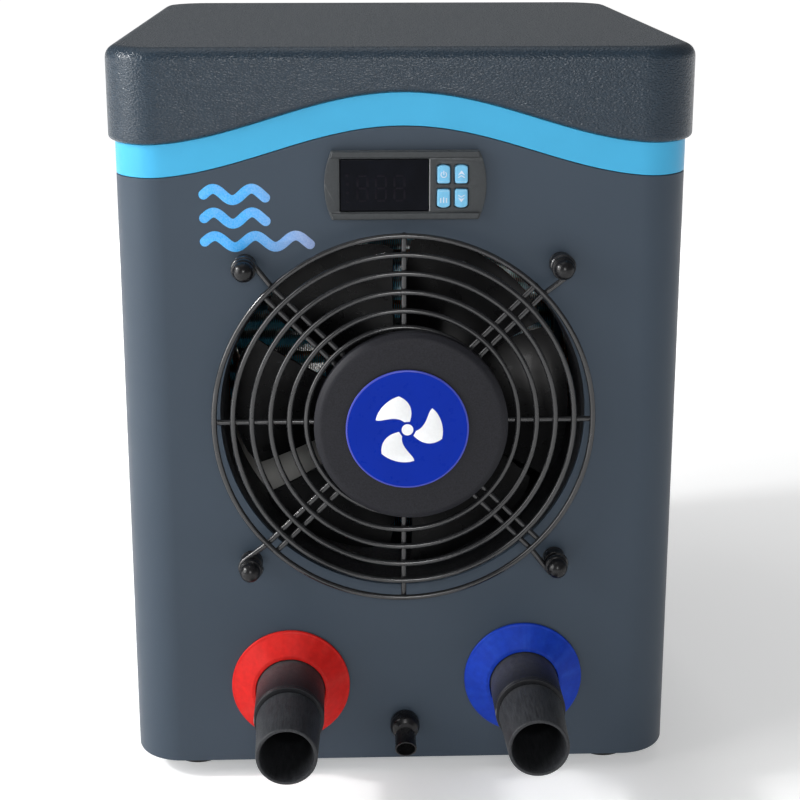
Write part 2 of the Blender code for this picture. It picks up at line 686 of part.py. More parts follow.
def make_ports():
    """Stepped hose tails, their coloured rings outside and their nuts inside."""
    big, root, tip = 19 * MM, 17.3 * MM, 16.1 * MM
    inside = -22 * MM
    tail = [(tip, PIPE_REACH), (root, TAIL_STEP + 3 * MM), (root - 0.8 * MM, TAIL_STEP),
            (big, TAIL_STEP - 2 * MM), (big, GAP), (THREAD_R, GAP), (THREAD_R, inside),
            (BORE_R, inside), (BORE_R, PIPE_REACH)]
    cone = [(big + 2 * MM, 9.5 * MM), (33 * MM, 2.2 * MM), (33 * MM, GAP), (big + GAP, GAP),
            (big + GAP, 9.5 * MM)]
    for side, color in (("left", "red"), ("right", "blue")):
        x, z = PORT_AT[side]
        front_turned("hose_adapter_" + side, tail, x, z, sides=24, mat=M["black"])
        front_turned("flange_" + color, cone, x, z, sides=30, mat=M[color])
        nut = rod("port_nut_" + side, 24 * MM, FRONT_Y + WALL + GAP, FRONT_Y + WALL + 9 * MM,
                  (x, z), 'Y', 6, mat=M["black"])
        boolean(nut, [rod("nut_bore_" + side, THREAD_R + GAP, FRONT_Y, FRONT_Y + 20 * MM,
                          (x, z), 'Y', 20, cutter=True)])


def hollow_pipe(name, points, radius, wall, mat):
    pipe = as_mesh(tube(name, points, radius, mat, sides=8, caps=False))
    shell = pipe.modifiers.new("Solidify", 'SOLIDIFY')
    shell.thickness = wall
    shell.offset = -1
    return pipe


def make_heat_exchanger():
    """A water vessel with a titanium coil in it, joined to both ports."""
    x, y = HX_AT
    bottom, wall = PAN_Z + GAP, 3 * MM
    shell = [(0, bottom), (HX_R - 4 * MM, bottom), (HX_R, bottom + 4 * MM), (HX_R, HX_TOP),
             (HX_R - wall, HX_TOP), (HX_R - wall, bottom + 5 * MM), (HX_R - 6 * MM, bottom + wall),
             (0, bottom + wall)]
    vessel = turned("heat_exchanger_shell", shell[::-1], (x, y, 0), sides=24, closed=False,
                    mat=M["white"])
    port_y = (y - 1.2 * HX_R, y)
    high_x, high_z = x + 24 * MM, 104 * MM
    hole_r = WATER_R + 2 * GAP
    boolean(vessel, [rod("vessel_port_low", hole_r, *port_y, PORT_AT["left"], 'Y', 16,
                         cutter=True),
                     rod("vessel_port_high", hole_r, *port_y, (high_x, high_z), 'Y', 16,
                         cutter=True)])
    cap = [(0, HX_TOP + 5 * MM), (HX_R - 3 * MM, HX_TOP + 5 * MM), (HX_R + 2.5 * MM, HX_TOP + 2 * MM),
           (HX_R + 2.5 * MM, HX_TOP - 8 * MM), (HX_R + GAP, HX_TOP - 8 * MM), (HX_R + GAP, HX_TOP + GAP),
           (0, HX_TOP + GAP)]
    lid = turned("heat_exchanger_cap", cap, (x, y, 0), sides=24, closed=False, mat=M["white"])
    holes = [rod("cap_hole_" + str(i), 4.2 * MM, HX_TOP - 5 * MM, HX_TOP + 10 * MM, (x + dx, y),
                 sides=10, cutter=True) for i, dx in enumerate(COIL_ENDS)]
    boolean(lid, holes)
    tube("titanium_coil", coil_route(x, y), 3.6 * MM, M["titanium"])
    left_x, left_z = PORT_AT["left"]
    hollow_pipe("water_outlet_pipe", [(left_x, FRONT_Y + d * MM, left_z) for d in (17, 107)],
                WATER_R, 2 * MM, M["black"])
    start = Vector((PORT_AT["right"][0], FRONT_Y, PORT_AT["right"][1]))
    route = [(start.x, start.y + 16 * MM, start.z)]
    steps = 8
    for k in range(steps + 1):
        t = k / steps
        ease = t * t * (3 - 2 * t)
        route.append((start.x + (high_x - start.x) * ease, start.y + (30 + 66 * t) * MM,
                      start.z + (high_z - start.z) * ease))
    route.append((high_x, start.y + 108 * MM, high_z))
    hollow_pipe("water_inlet_pipe", route, WATER_R, 2 * MM, M["black"])


def coil_route(x, y):
    """Down one leg, round in three turns and up the other leg."""
    radius = 34 * MM
    turns, steps = 3, 9
    low, high = 40 * MM, 128 * MM
    right, left = [x + end for end in COIL_ENDS]
    points = [(right, y, COIL_TOP), (right, y, high + 22 * MM)]
    for k in range(turns * steps + 1):
        a = 2 * math.pi * (k + 1) / steps
        z = high + (low - high) * k / (turns * steps)
        points.append((x + radius * math.cos(a), y + radius * math.sin(a), z))
    centre_z = low - 4 * MM
    points += [(x + 12 * MM, y + 12 * MM, centre_z), (x - 6 * MM, y, centre_z + 4 * MM),
               (x - 10 * MM, y, 60 * MM), (x - 10 * MM, y, 140 * MM),
               (left, y, 152 * MM), (left, y, COIL_TOP)]
    return points


def make_nozzle():
    """Condensate outlet: a domed nut on the panel and a barb that dips forward."""
    x, z = NOZZLE_AT
    dome = [(0, 10 * MM), (5 * MM, 9.6 * MM), (7.4 * MM, 7.6 * MM), (8.2 * MM, 5 * MM), (8.2 * MM, GAP),
            (5 * MM, GAP), (5 * MM, -16 * MM), (0, -16 * MM)]
    body = front_turned("drain_nozzle", dome, x, z, sides=20, closed=False, mat=M["gloss"])
    dip = math.radians(NOZZLE_DIP)
    reach = Vector((0, -math.cos(dip), -math.sin(dip)))
    start = Vector((x, FRONT_Y - 4 * MM, z - 1.5 * MM))
    barb = as_mesh(tube("nozzle_barb", [start, start + reach * 15 * MM], 6 * MM, sides=16, cutter=True))
    bore = as_mesh(tube("nozzle_bore", [start + reach * 6 * MM, start + reach * 20 * MM], 4.6 * MM,
                        sides=12, cutter=True))
    boolean(body, [barb], 'UNION')
    boolean(body, [bore])


# ---------------------------------------------------------------- refrigeration

def make_compressor():
    x, y = COMP_AT
    r = COMP_R
    low, high = 22 * MM, 200 * MM
    shell = [(0, high), (18 * MM, high - 2 * MM), (38 * MM, high - 10 * MM), (r, high - 28 * MM),
             (r, low + 14 * MM), (38 * MM, low), (0, low)]
    body = turned("compressor", shell, (x, y, 0), sides=20, closed=False, mat=M["compressor"])
    feet = []
    for k in range(3):
        a = math.radians(30 + 120 * k)
        feet.append((x + 60 * MM * math.cos(a), y + 60 * MM * math.sin(a)))
    plate = []
    for k in range(3):
        a = 30 + 120 * k
        plate += arc(feet[k][0], feet[k][1], 9 * MM, a - 55, a + 55, 4)
    plate_solid = prism("compressor_plate", plate, 27.3 * MM, 30.3 * MM, cutter=True)
    boolean(body, [plate_solid], 'UNION')
    boolean(body, [rod("terminal_boss", 12 * MM, high - 20 * MM, high + 8 * MM, (x, y), sides=12,
                       cutter=True)], 'UNION')
    pad = [(7 * MM, 27 * MM), (9 * MM, 24 * MM), (7.5 * MM, 21 * MM), (9 * MM, PAN_Z + GAP),
           (3 * MM, PAN_Z + GAP), (3 * MM, 27 * MM)]
    for k, (fx, fy) in enumerate(feet):
        turned("compressor_grommet_" + str(k + 1), pad, (fx, fy, 0), sides=10, mat=M["rubber"])
    accumulator = [(0, 150 * MM), (12 * MM, 147 * MM), (17 * MM, 138 * MM), (17 * MM, 62 * MM),
                   (12 * MM, 53 * MM), (0, 50 * MM)]
    turned("accumulator", accumulator, (*ACCUMULATOR_AT, 0), sides=16, closed=False,
           mat=M["compressor"])


def evap_rows():
    low, high = EVAP_Z
    pitch = (high - low) / EVAP_TUBES
    return [low + pitch * (k + 0.5) for k in range(EVAP_TUBES)]


def make_evaporator():
    """A fin block, its two end plates and one serpentine tube through them."""
    half = EVAP_W / 2
    deep, spine = EVAP_D / 2, EVAP_SPINE / 2
    low, high = EVAP_Z
    fins = box("evaporator_fins", (-half, EVAP_MID_Y - spine, low), (half, EVAP_MID_Y + spine, high),
               M["fin"])
    pitch = (EVAP_W - 1.4 * MM) / (EVAP_FINS - 1)
    bm = bmesh.new()
    for k in range(EVAP_FINS):
        centre = Vector((pitch * (k - (EVAP_FINS - 1) / 2), EVAP_MID_Y, (low + high) / 2))
        size = (1.4 * MM, EVAP_D, high - low, 1)
        bmesh.ops.create_cube(bm, size=1, matrix=Matrix.Translation(centre) @ Matrix.Diagonal(size))
    blades = from_bmesh(bm, "fin_blades", None, cutter=True)
    boolean(fins, [blades], 'UNION')
    rows = evap_rows()
    bores = []
    for k, z in enumerate(rows):
        bores.append(rod("fin_bore_" + str(k), EVAP_TUBE_R + 0.9 * MM, -half - 9 * MM, half + 9 * MM,
                         (EVAP_MID_Y, z), 'X', 6, cutter=True))
    boolean(fins, bores)
    for side, sign in (("left", -1), ("right", 1)):
        xs = sorted((sign * (half + GAP), sign * (half + 1.8 * MM)))
        plate = box("evaporator_plate_" + side, (xs[0], EVAP_MID_Y - deep, PAN_Z + GAP),
                    (xs[1], EVAP_MID_Y + deep, EVAP_Z[1] + 4 * MM), M["sheet"])
        boolean(plate, bores)
    points = [(half + 12 * MM, EVAP_MID_Y, rows[0])]
    for k, z in enumerate(rows):
        sign = 1 if k % 2 == 0 else -1
        end = half + 6 * MM
        points.append((sign * end, EVAP_MID_Y, z))
        points.append((-sign * end, EVAP_MID_Y, z))
        if k + 1 < len(rows):
            r = (rows[k + 1] - z) / 2
            bend = arc(0, z + r, 14 * MM, -45, 45, 2)
            points += [(-sign * (end + u), EVAP_MID_Y, v) for u, v in bend]
    points.append((half + 12 * MM, EVAP_MID_Y, rows[-1]))
    tube("evaporator_tube", points, EVAP_TUBE_R, M["copper"])


def make_lines():
    """Copper lines between compressor, coil, drier, evaporator and accumulator."""
    cx, cy = COMP_AT
    hx, hy = HX_AT
    right, left = [hx + end for end in COIL_ENDS]
    rows = evap_rows()
    end_x = EVAP_W / 2 + 12.4 * MM      # the tube's two ends, at the right of the block
    side_x = EVAP_W / 2 + 26 * MM
    top = COIL_TOP + GAP
    crossing = 221 * MM
    discharge = [(cx - 26 * MM, cy, 198 * MM), (cx - 26 * MM, cy, 212 * MM),
                 (cx - 32 * MM, cy, crossing), (hx + 36 * MM, hy, crossing),
                 (hx + 28 * MM, hy, 214 * MM), (right, hy, 204 * MM), (right, hy, top)]
    tube("discharge_line", discharge, 3.2 * MM, M["copper"])
    dx, dy = DRIER_AT
    liquid = [(left, hy, top), (left, hy, 190 * MM), (left - 6 * MM, hy + 8 * MM, 198 * MM),
              (dx + 4 * MM, dy - 12 * MM, 198 * MM), (dx, dy, 192 * MM), (dx, dy, 140 * MM)]
    line = as_mesh(tube("liquid_line", liquid, 2.6 * MM, M["copper"]))
    drier = [(0, 150 * MM), (4 * MM, 148 * MM), (9 * MM, 138 * MM), (9 * MM, 92 * MM),
             (4 * MM, 82 * MM), (0, 80 * MM)]
    drier_can = turned("filter_drier", drier, (dx, dy, 0), sides=14, closed=False, cutter=True)
    low_y, low_z = EVAP_MID_Y - 24 * MM, 22 * MM
    capillary = [(dx, dy, 90 * MM), (dx, dy, 40 * MM), (dx + 6 * MM, dy + 6 * MM, low_z),
                 (end_x + 1.6 * MM, low_y, low_z), (side_x, low_y + 8 * MM, low_z + 6 * MM),
                 (side_x, EVAP_MID_Y - 6 * MM, rows[0] - 4 * MM),
                 (side_x - 5 * MM, EVAP_MID_Y, rows[0]), (end_x, EVAP_MID_Y, rows[0])]
    thin = as_mesh(tube("capillary_line", capillary, 1.6 * MM, cutter=True))
    boolean(line, [drier_can, thin], 'UNION')
    ax, ay = ACCUMULATOR_AT
    suction = [(end_x, EVAP_MID_Y, rows[-1]), (side_x - 7 * MM, EVAP_MID_Y, rows[-1]),
               (side_x, EVAP_MID_Y - 9 * MM, rows[-1] - 2 * MM),
               (side_x, EVAP_MID_Y - 40 * MM, rows[-1] - 12 * MM),
               (ax, ay + 16 * MM, 250 * MM), (ax, ay, 236 * MM), (ax, ay, 150.4 * MM)]
    tube("suction_line", suction, 3.6 * MM, M["copper"])


# ---------------------------------------------------------------- electrical

def make_tray():
    """A tray under the lid with two ears that reach the casing, and its cover."""
    low, high = BOX_Z
    y0, y1 = BOX_Y
    half, wall = BOX_HALF, 2 * MM
    tray = box("electrical_box", (-half, y0, low), (half, y1, high), M["sheet"])
    hollow = box("tray_hollow", (-half + wall, y0 + wall, low + wall),
                 (half - wall, y1 - wall, high + 9 * MM), cutter=True)
    reach = CASE_W / 2 - WALL - 2 * GAP
    ear = box("tray_ears", (-reach, SEAM_Y - 16 * MM, low + 10.3 * MM),
              (reach, SEAM_Y + 16 * MM, low + 12.3 * MM), cutter=True)
    cable = rod("tray_cable_hole", 8 * MM, y1 - 6 * MM, y1 + 6 * MM, (80 * MM, low + 22 * MM), 'Y', 12,
                cutter=True)
    boolean(tray, [ear], 'UNION')
    boolean(tray, [hollow, cable])
    box("electrical_cover", (-half - 1 * MM, y0 - 1 * MM, high + GAP),
        (half + 1 * MM, y1 + 1 * MM, high + 1.8 * MM), M["sheet"])
    rod("run_capacitor", 15 * MM, y0 + 30 * MM, y0 + 100 * MM, (78 * MM, low + wall + 15.4 * MM), 'Y',
        20, M["sheet"])


def make_control_board():
    """A circuit board in the tray with a relay, a transformer and a terminal row."""
    y0, y1 = BOX_Y
    under = BOX_Z[0] + 8 * MM
    seat = under + 1 * MM
    board = box("control_board", (-95 * MM, y0 + 12 * MM, under),
                (40 * MM, y1 - 12 * MM, under + 1.6 * MM), M["board"])
    parts = []
    for name, x0, x1, near, far, height in (("relay", -80, -60, 20, 44, 17),
                                            ("transformer", -40, 0, 90, 130, 27),
                                            ("terminals", 0, 34, 20, 34, 13)):
        parts.append(box(name, (x0 * MM, y0 + near * MM, seat),
                         (x1 * MM, y0 + far * MM, seat + height * MM), cutter=True))
    boolean(board, parts, 'UNION')


def make_gland():
    """The strain relief for the cord, in the rear shell."""
    x, z = GLAND_AT
    gland = [(5 * MM, GLAND_REACH), (7 * MM, GLAND_REACH - 4 * MM), (8.5 * MM, GLAND_REACH - 8 * MM),
             (8.5 * MM, GAP), (6.2 * MM, GAP), (6.2 * MM, -18 * MM), (3.8 * MM, -18 * MM),
             (3.8 * MM, GLAND_REACH)]
    turned("cable_gland", gland, (x, REAR_Y, z), (-math.pi / 2, 0, 0), sides=14, mat=M["black"])


# ---------------------------------------------------------------- build

clear_scene()
PARTS = collection("heat_pump_unit")
CUTTERS = collection("cutters")
M = {
    "casing": material("casing_plastic", (0.058, 0.077, 0.1), 0.42),
    "lid": material("lid_plastic", (0.08, 0.081, 0.083), 0.6),
    "band": material("band_plastic", (0.066, 0.41, 0.68), 0.35),
    "black": material("black_plastic", (0.018, 0.018, 0.02), 0.5),
    "gloss": material("gloss_black", (0.012, 0.012, 0.013), 0.2),
    "hub": material("hub_plastic", (0.027, 0.027, 0.034), 0.55),
    "badge": material("badge_blue", (0.002, 0.022, 0.29), 0.3),
    "wire": material("coated_wire", (0.05, 0.052, 0.055), 0.35),
    "blade": material("blade_plastic", (0.015, 0.015, 0.017), 0.45),
    "motor": material("motor_paint", (0.03, 0.03, 0.033), 0.45),
    "steel": material("bright_steel", (0.55, 0.55, 0.56), 0.25, 1),
    "sheet": material("zinc_sheet", (0.45, 0.46, 0.47), 0.4, 1),
    "rubber": material("black_rubber", (0.02, 0.02, 0.02), 0.8),
    "red": material("red_plastic", (0.42, 0.016, 0.015), 0.35),
    "blue": material("blue_plastic", (0.01, 0.045, 0.39), 0.35),
    "bezel": material("bezel_plastic", (0.041, 0.047, 0.053), 0.5),
    "key": material("key_plastic", (0.23, 0.45, 0.62), 0.35),
    "screen": material("screen_acrylic", (0.009, 0.01, 0.014), 0.08),
    "board": material("circuit_board", (0.01, 0.09, 0.03), 0.5),
    "white": material("white_pvc", (0.7, 0.7, 0.68), 0.45),
    "titanium": material("titanium", (0.5, 0.48, 0.45), 0.3, 1),
    "copper": material("copper", (0.72, 0.33, 0.18), 0.3, 1),
    "fin": material("coated_aluminium", (0.02, 0.25, 0.4), 0.35, 0.6),
    "compressor": material("compressor_paint", (0.014, 0.014, 0.015), 0.35),
}
make_casings()
make_band()
make_lid()
make_base()
make_rear_grille()
make_guard()
make_hub_cover()
make_posts()
make_shroud()
make_motor()
make_rotor()
make_controller()
make_ports()
make_heat_exchanger()
make_nozzle()
make_compressor()
make_evaporator()
make_lines()
make_tray()
make_control_board()
make_gland()
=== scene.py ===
"""Looks of the mini pool heat pump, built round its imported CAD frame.

Metres, +Z up, front towards -Y; turned profiles and material grain are in millimetres.
Pieces take their places from the CAD nodes' boxes.
"""
from math import asin, atan2, cos, degrees, hypot, pi, radians, sin, sqrt, tan

import bmesh
import bpy
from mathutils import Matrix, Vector


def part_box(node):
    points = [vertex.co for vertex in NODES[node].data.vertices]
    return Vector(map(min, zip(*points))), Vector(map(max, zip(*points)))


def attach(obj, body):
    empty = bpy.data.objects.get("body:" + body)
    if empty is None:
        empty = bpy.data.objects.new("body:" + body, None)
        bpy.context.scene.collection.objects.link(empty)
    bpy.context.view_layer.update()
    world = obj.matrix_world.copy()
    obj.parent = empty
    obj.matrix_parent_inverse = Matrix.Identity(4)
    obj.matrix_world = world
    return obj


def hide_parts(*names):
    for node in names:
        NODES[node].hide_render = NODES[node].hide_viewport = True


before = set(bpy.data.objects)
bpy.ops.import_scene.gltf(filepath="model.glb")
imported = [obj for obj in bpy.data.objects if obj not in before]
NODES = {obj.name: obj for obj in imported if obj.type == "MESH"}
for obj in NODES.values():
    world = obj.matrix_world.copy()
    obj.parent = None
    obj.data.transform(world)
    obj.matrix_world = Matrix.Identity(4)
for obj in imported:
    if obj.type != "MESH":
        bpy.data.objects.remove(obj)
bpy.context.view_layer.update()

MM = 0.001
GAP_MM = 0.3
GAP = GAP_MM * MM
FRONT, REAR, UP = (0, -1, 0), (0, 1, 0), (0, 0, 1)


def low(node):
    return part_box(node)[0]


def high(node):
    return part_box(node)[1]


def mid(node):
    return (low(node) + high(node)) / 2


# The casing's outline, and the wave of the lid's lower edge
FRONT_Y = low("front_casing").y
REAR_Y = high("rear_casing").y
SEAM_Y = (FRONT_Y + REAR_Y) / 2
HALF_W = high("front_casing").x
CASE_BOTTOM = low("front_casing").z
CASE_R = 27 * MM
WALL = 3 * MM
EDGE_Z = low("top_lid").z - GAP
WAVE_RISE = high("accent_band").z - EDGE_Z
WAVE_HALF = 138 * MM
BAND_H = EDGE_Z - low("accent_band").z
BAND_T = 1.3 * MM
TUCK = 6 * MM
LID_OUT = high("top_lid").x - HALF_W
LID_TOP = high("top_lid").z
LID_ROUND = 7 * MM

# The fan and its guard
FAN = Vector((0, FRONT_Y, mid("fan_guard").z))
RINGS = [radius * MM for radius in (36, 52, 61, 71, 81, 91, 101)]
WIRE_R = 1.5 * MM
RING_Y = low("fan_guard").y + WIRE_R
SPOKE_Y = high("fan_guard").y - WIRE_R
SPOKE_END = RINGS[-1] + 0.6 * MM
OPENING_R = 98.5 * MM
NECK_R = 3.7 * MM
TWIN = 3.3 * MM
BLADES = 6
BLADE_START = 36
BLADE_TIP = 93.5 * MM
CUP_R_MM = 43

# The controller, the drain nozzle, the rear grille and the fins
CTRL = mid("controller_bezel")
KEYS = {"power": 1, "up": 1, "mode": -1, "down": -1}
NOZZLE_Z = high("drain_nozzle").z - 8.2 * MM
NOZZLE_DIP = 22
NOZZLE_LONG_MM = 15
GRILLE_EDGE = 5.7 * MM
FIN_WAVES = 24
FIN_PITCH = (high("evaporator_fins").z - low("evaporator_fins").z) / FIN_WAVES


def proud(node):
    """How far a node's back and its face stand in front of the casing, in millimetres."""
    return (FRONT_Y - high(node).y) / MM, (FRONT_Y - low(node).y) / MM


def radius_mm(node):
    return (high(node).x - low(node).x) / 2 / MM


def on_front(node):
    """The point of the front face on a node's axis."""
    return (mid(node).x, FRONT_Y, mid(node).z)


# ---- materials

def configure(thing, **values):
    """Sets several properties of a thing and hands it back."""
    for key, value in values.items():
        setattr(thing, key, value)
    return thing


def add_node(kind, inputs, out=0, **settings):
    """An output of a new node; inputs maps a socket to a value or to another node's output."""
    tree = next(v.id_data for v in inputs.values() if isinstance(v, bpy.types.NodeSocket))
    made = configure(tree.nodes.new(kind), **settings)
    for key, value in inputs.items():
        if isinstance(value, bpy.types.NodeSocket):
            tree.links.new(value, made.inputs[key])
        else:
            made.inputs[key].default_value = value
    return made.outputs[out]


def noise(coords, size, detail=4.0, stretch=None, rough=0.55):
    """Noise of a feature size in metres, or longer along the axes named in stretch."""
    if stretch:
        coords = add_node("ShaderNodeMapping", {"Vector": coords, "Scale": stretch})
    return add_node("ShaderNodeTexNoise", {"Vector": coords, "Scale": 1 / size, "Detail": detail,
                                           "Roughness": rough})


def remap(value, from_low, from_high, to_low, to_high):
    return add_node("ShaderNodeMapRange", {"Value": value, "From Min": from_low, "From Max": from_high,
                                           "To Min": to_low, "To Max": to_high})


def calc(operation, *values):
    return add_node("ShaderNodeMath", dict(enumerate(values)), operation=operation)


def calc_vector(operation, *values):
    return add_node("ShaderNodeVectorMath", dict(enumerate(values)), operation=operation)


def blend_color(factor, a, b):
    return add_node("ShaderNodeMix", {0: factor, 6: a, 7: b}, 2, data_type='RGBA')


def object_coords(tree):
    return tree.nodes.new("ShaderNodeTexCoord").outputs["Object"]


def axis_of(coords, axis):
    return add_node("ShaderNodeSeparateXYZ", {0: coords}, axis)


def layers(mat):
    """A material's base colour so far, and its object coordinates."""
    tree = mat.node_tree
    return tree.nodes["Principled BSDF"].inputs["Base Color"].links[0].from_socket, object_coords(tree)


def paint(mat, tone):
    """Gives a material another base colour."""
    tree = mat.node_tree
    tree.links.new(tone, tree.nodes["Principled BSDF"].inputs["Base Color"])
    return mat


def shade_of(color, gain):
    return (*[min(1.0, channel * gain) for channel in color], 1)


def leather(coords):
    """Wrinkled moulded grain: soft cells about a millimetre wide, wider than they are tall."""
    warp = noise(coords, 1.1 * MM, 2.0)
    push = add_node("ShaderNodeVectorMath", {0: warp, "Scale": 0.5 * MM}, operation='SCALE')
    bent = calc_vector('ADD', coords, push)
    bent = add_node("ShaderNodeMapping", {"Vector": bent, "Scale": (0.7, 0.7, 1.15)})
    return add_node("ShaderNodeTexVoronoi", {"Vector": bent, "Scale": 1 / (0.8 * MM)}, "Distance",
                    feature='SMOOTH_F1')


def finish(name, color, rough, mottle=0.07, mottle_size=30, swing=0.05, grain=None, specular=None,
           metal=0, edge_wear_and_highlight=None, edge_wear_and_highlight_at=(0.53, 0.6), edge_evenness=0.25, scuff=None):
    """A Principled material with real-scale mottling, roughness swing, grain and a lighter edge colour, worn
    paint on some materials and a painted highlight on others.

    Sizes are in millimetres. grain is (size, height) of a fine bump, or "leather". The edge colour is that of
    worn edges on most materials and a painted highlight on the hose tail and the keys; it starts and is full
    at the two levels given after it, and the next argument is how much of it shows between the breaks. scuff
    is (colour, amount, size) of rubbed patches."""
    mat = bpy.data.materials.new(name)
    mat.use_nodes = True
    tree = mat.node_tree
    shader = tree.nodes["Principled BSDF"]
    shader.inputs["Metallic"].default_value = metal
    if specular is not None:
        shader.inputs["Specular IOR Level"].default_value = specular
    coords = object_coords(tree)
    size = mottle_size * MM
    spread = remap(noise(coords, size, 5.0), 0.3, 0.7, 0, 1)
    tone = blend_color(spread, shade_of(color, 1 - mottle), shade_of(color, 1 + mottle))
    gloss = remap(noise(coords, size / 4, 3.0), 0.3, 0.7, rough - swing, rough + swing)
    tree.links.new(gloss, shader.inputs["Roughness"])
    if scuff:
        scuff_color, amount, scuff_size = scuff
        rubbed = noise(coords, scuff_size * MM, 6.0, rough=0.68)
        tone = blend_color(remap(rubbed, 0.5, 0.68, 0, amount), tone, (*scuff_color, 1))
    # Lighter edge colour from pointiness: worn paint on some materials, a painted highlight on the hose tail
    # and the keys.
    if edge_wear_and_highlight:
        point = tree.nodes.new("ShaderNodeNewGeometry").outputs["Pointiness"]
        edge = remap(point, *edge_wear_and_highlight_at, 0, 1)
        edge_breakup = remap(noise(coords, 3 * MM, 4.0), 0.35, 0.6, edge_evenness, 1)
        tone = blend_color(calc('MULTIPLY', edge, edge_breakup), tone, (*edge_wear_and_highlight, 1))
    if grain:
        if grain == "leather":
            height, distance, strength = leather(coords), 0.3, 1.0
        else:
            height, distance, strength = noise(coords, grain[0] * MM, 3.0), grain[1], 0.8
        bump = add_node("ShaderNodeBump", {"Height": height, "Strength": strength,
                                           "Distance": distance * MM})
        tree.links.new(bump, shader.inputs["Normal"])
    return paint(mat, tone)


def print_gradient(name, start, end, left, right):
    """Printed ink that fades from one colour to another between two x positions."""
    mat = finish(name, start, 0.4)
    coords = layers(mat)[1]
    along = remap(axis_of(coords, "X"), left, right, 0, 1)
    fade = blend_color(along, (*start, 1), (*end, 1))
    speck = remap(noise(coords, 0.8 * MM, 3.0), 0.35, 0.7, 0.0, 0.12)
    return paint(mat, blend_color(speck, fade, (1, 1, 1, 1)))


def fin_coating(base_z, pitch):
    """Blue-green coated fins crossed by wavy dark bands of painted shade, one to each wave of the fins'
    edges.
    """
    mat = finish("coated_fin", (0.12, 0.70, 0.95), 0.4, 0.2, 5, 0.1)
    tone, coords = layers(mat)
    ripple = remap(noise(coords, 2.4 * MM, 2.0), 0, 1, -1.6 * MM, 1.6 * MM)
    height = calc('ADD', axis_of(coords, "Z"), ripple)
    phase = calc('PINGPONG', calc('SUBTRACT', height, base_z), pitch)
    # Painted shade: the dark bands where the fins lie in shadow.
    depth = remap(phase, 0.42 * pitch, 0.58 * pitch, 0, 1)
    return paint(mat, blend_color(depth, (0.003, 0.012, 0.017, 1), tone))


def flange_plastic(color_name, color, pale):
    """Satin plastic with a painted sheen of soft pale rays that fan out round the port's axis."""
    mat = finish(color_name + "_flange", color, 0.44, 0.12, 3, 0.06, (0.8, 0.05), 0.15)
    port = mid("flange_" + color_name)
    tone, coords = layers(mat)
    moved = calc_vector('SUBTRACT', coords, (port.x, 0, port.z))
    around = calc_vector('NORMALIZE', calc_vector('MULTIPLY', moved, (1, 0, 1)))
    # Painted sheen: pale rays round the port's axis, stronger in patches.
    sheen_rays = remap(noise(around, 0.3, 3.0), 0.42, 0.75, 0, 0.5)
    patches = remap(noise(coords, 8 * MM, 3.0), 0.4, 0.65, 0.2, 1)
    return paint(mat, blend_color(calc('MULTIPLY', sheen_rays, patches), tone, (*pale, 1)))


def hose_plastic():
    """Black plastic, satin on the thick stub and chalky with fine lengthwise rubbing streaks on the tail; its
    edges carry a painted highlight.
    """
    # The lighter edge colour here is a painted highlight along the step's ridge and the rims, where the
    # bevels catch the light.
    mat = finish("hose_tail_black", (0.0125, 0.013, 0.0155), 0.46, 0.25, 2, 0.08, (0.5, 0.05), 0.25,
                 edge_wear_and_highlight=(0.15, 0.15, 0.155), edge_wear_and_highlight_at=(0.535, 0.575), edge_evenness=0.6)
    tone, coords = layers(mat)
    past_step = remap(axis_of(coords, "Y"), FRONT_Y - 42 * MM, FRONT_Y - 45 * MM, 0, 1)
    lines = remap(noise(coords, 1.1 * MM, 5.0, (1, 0.12, 1), 0.7), 0.35, 0.68, 0.1, 1)
    specks = remap(noise(coords, 0.9 * MM, 3.0), 0.70, 0.76, 0, 0.7)
    for amount, color in ((lines, (0.038, 0.040, 0.044, 1)), (specks, (0.13, 0.13, 0.135, 1))):
        tone = blend_color(calc('MULTIPLY', past_step, amount), tone, color)
    return paint(mat, tone)


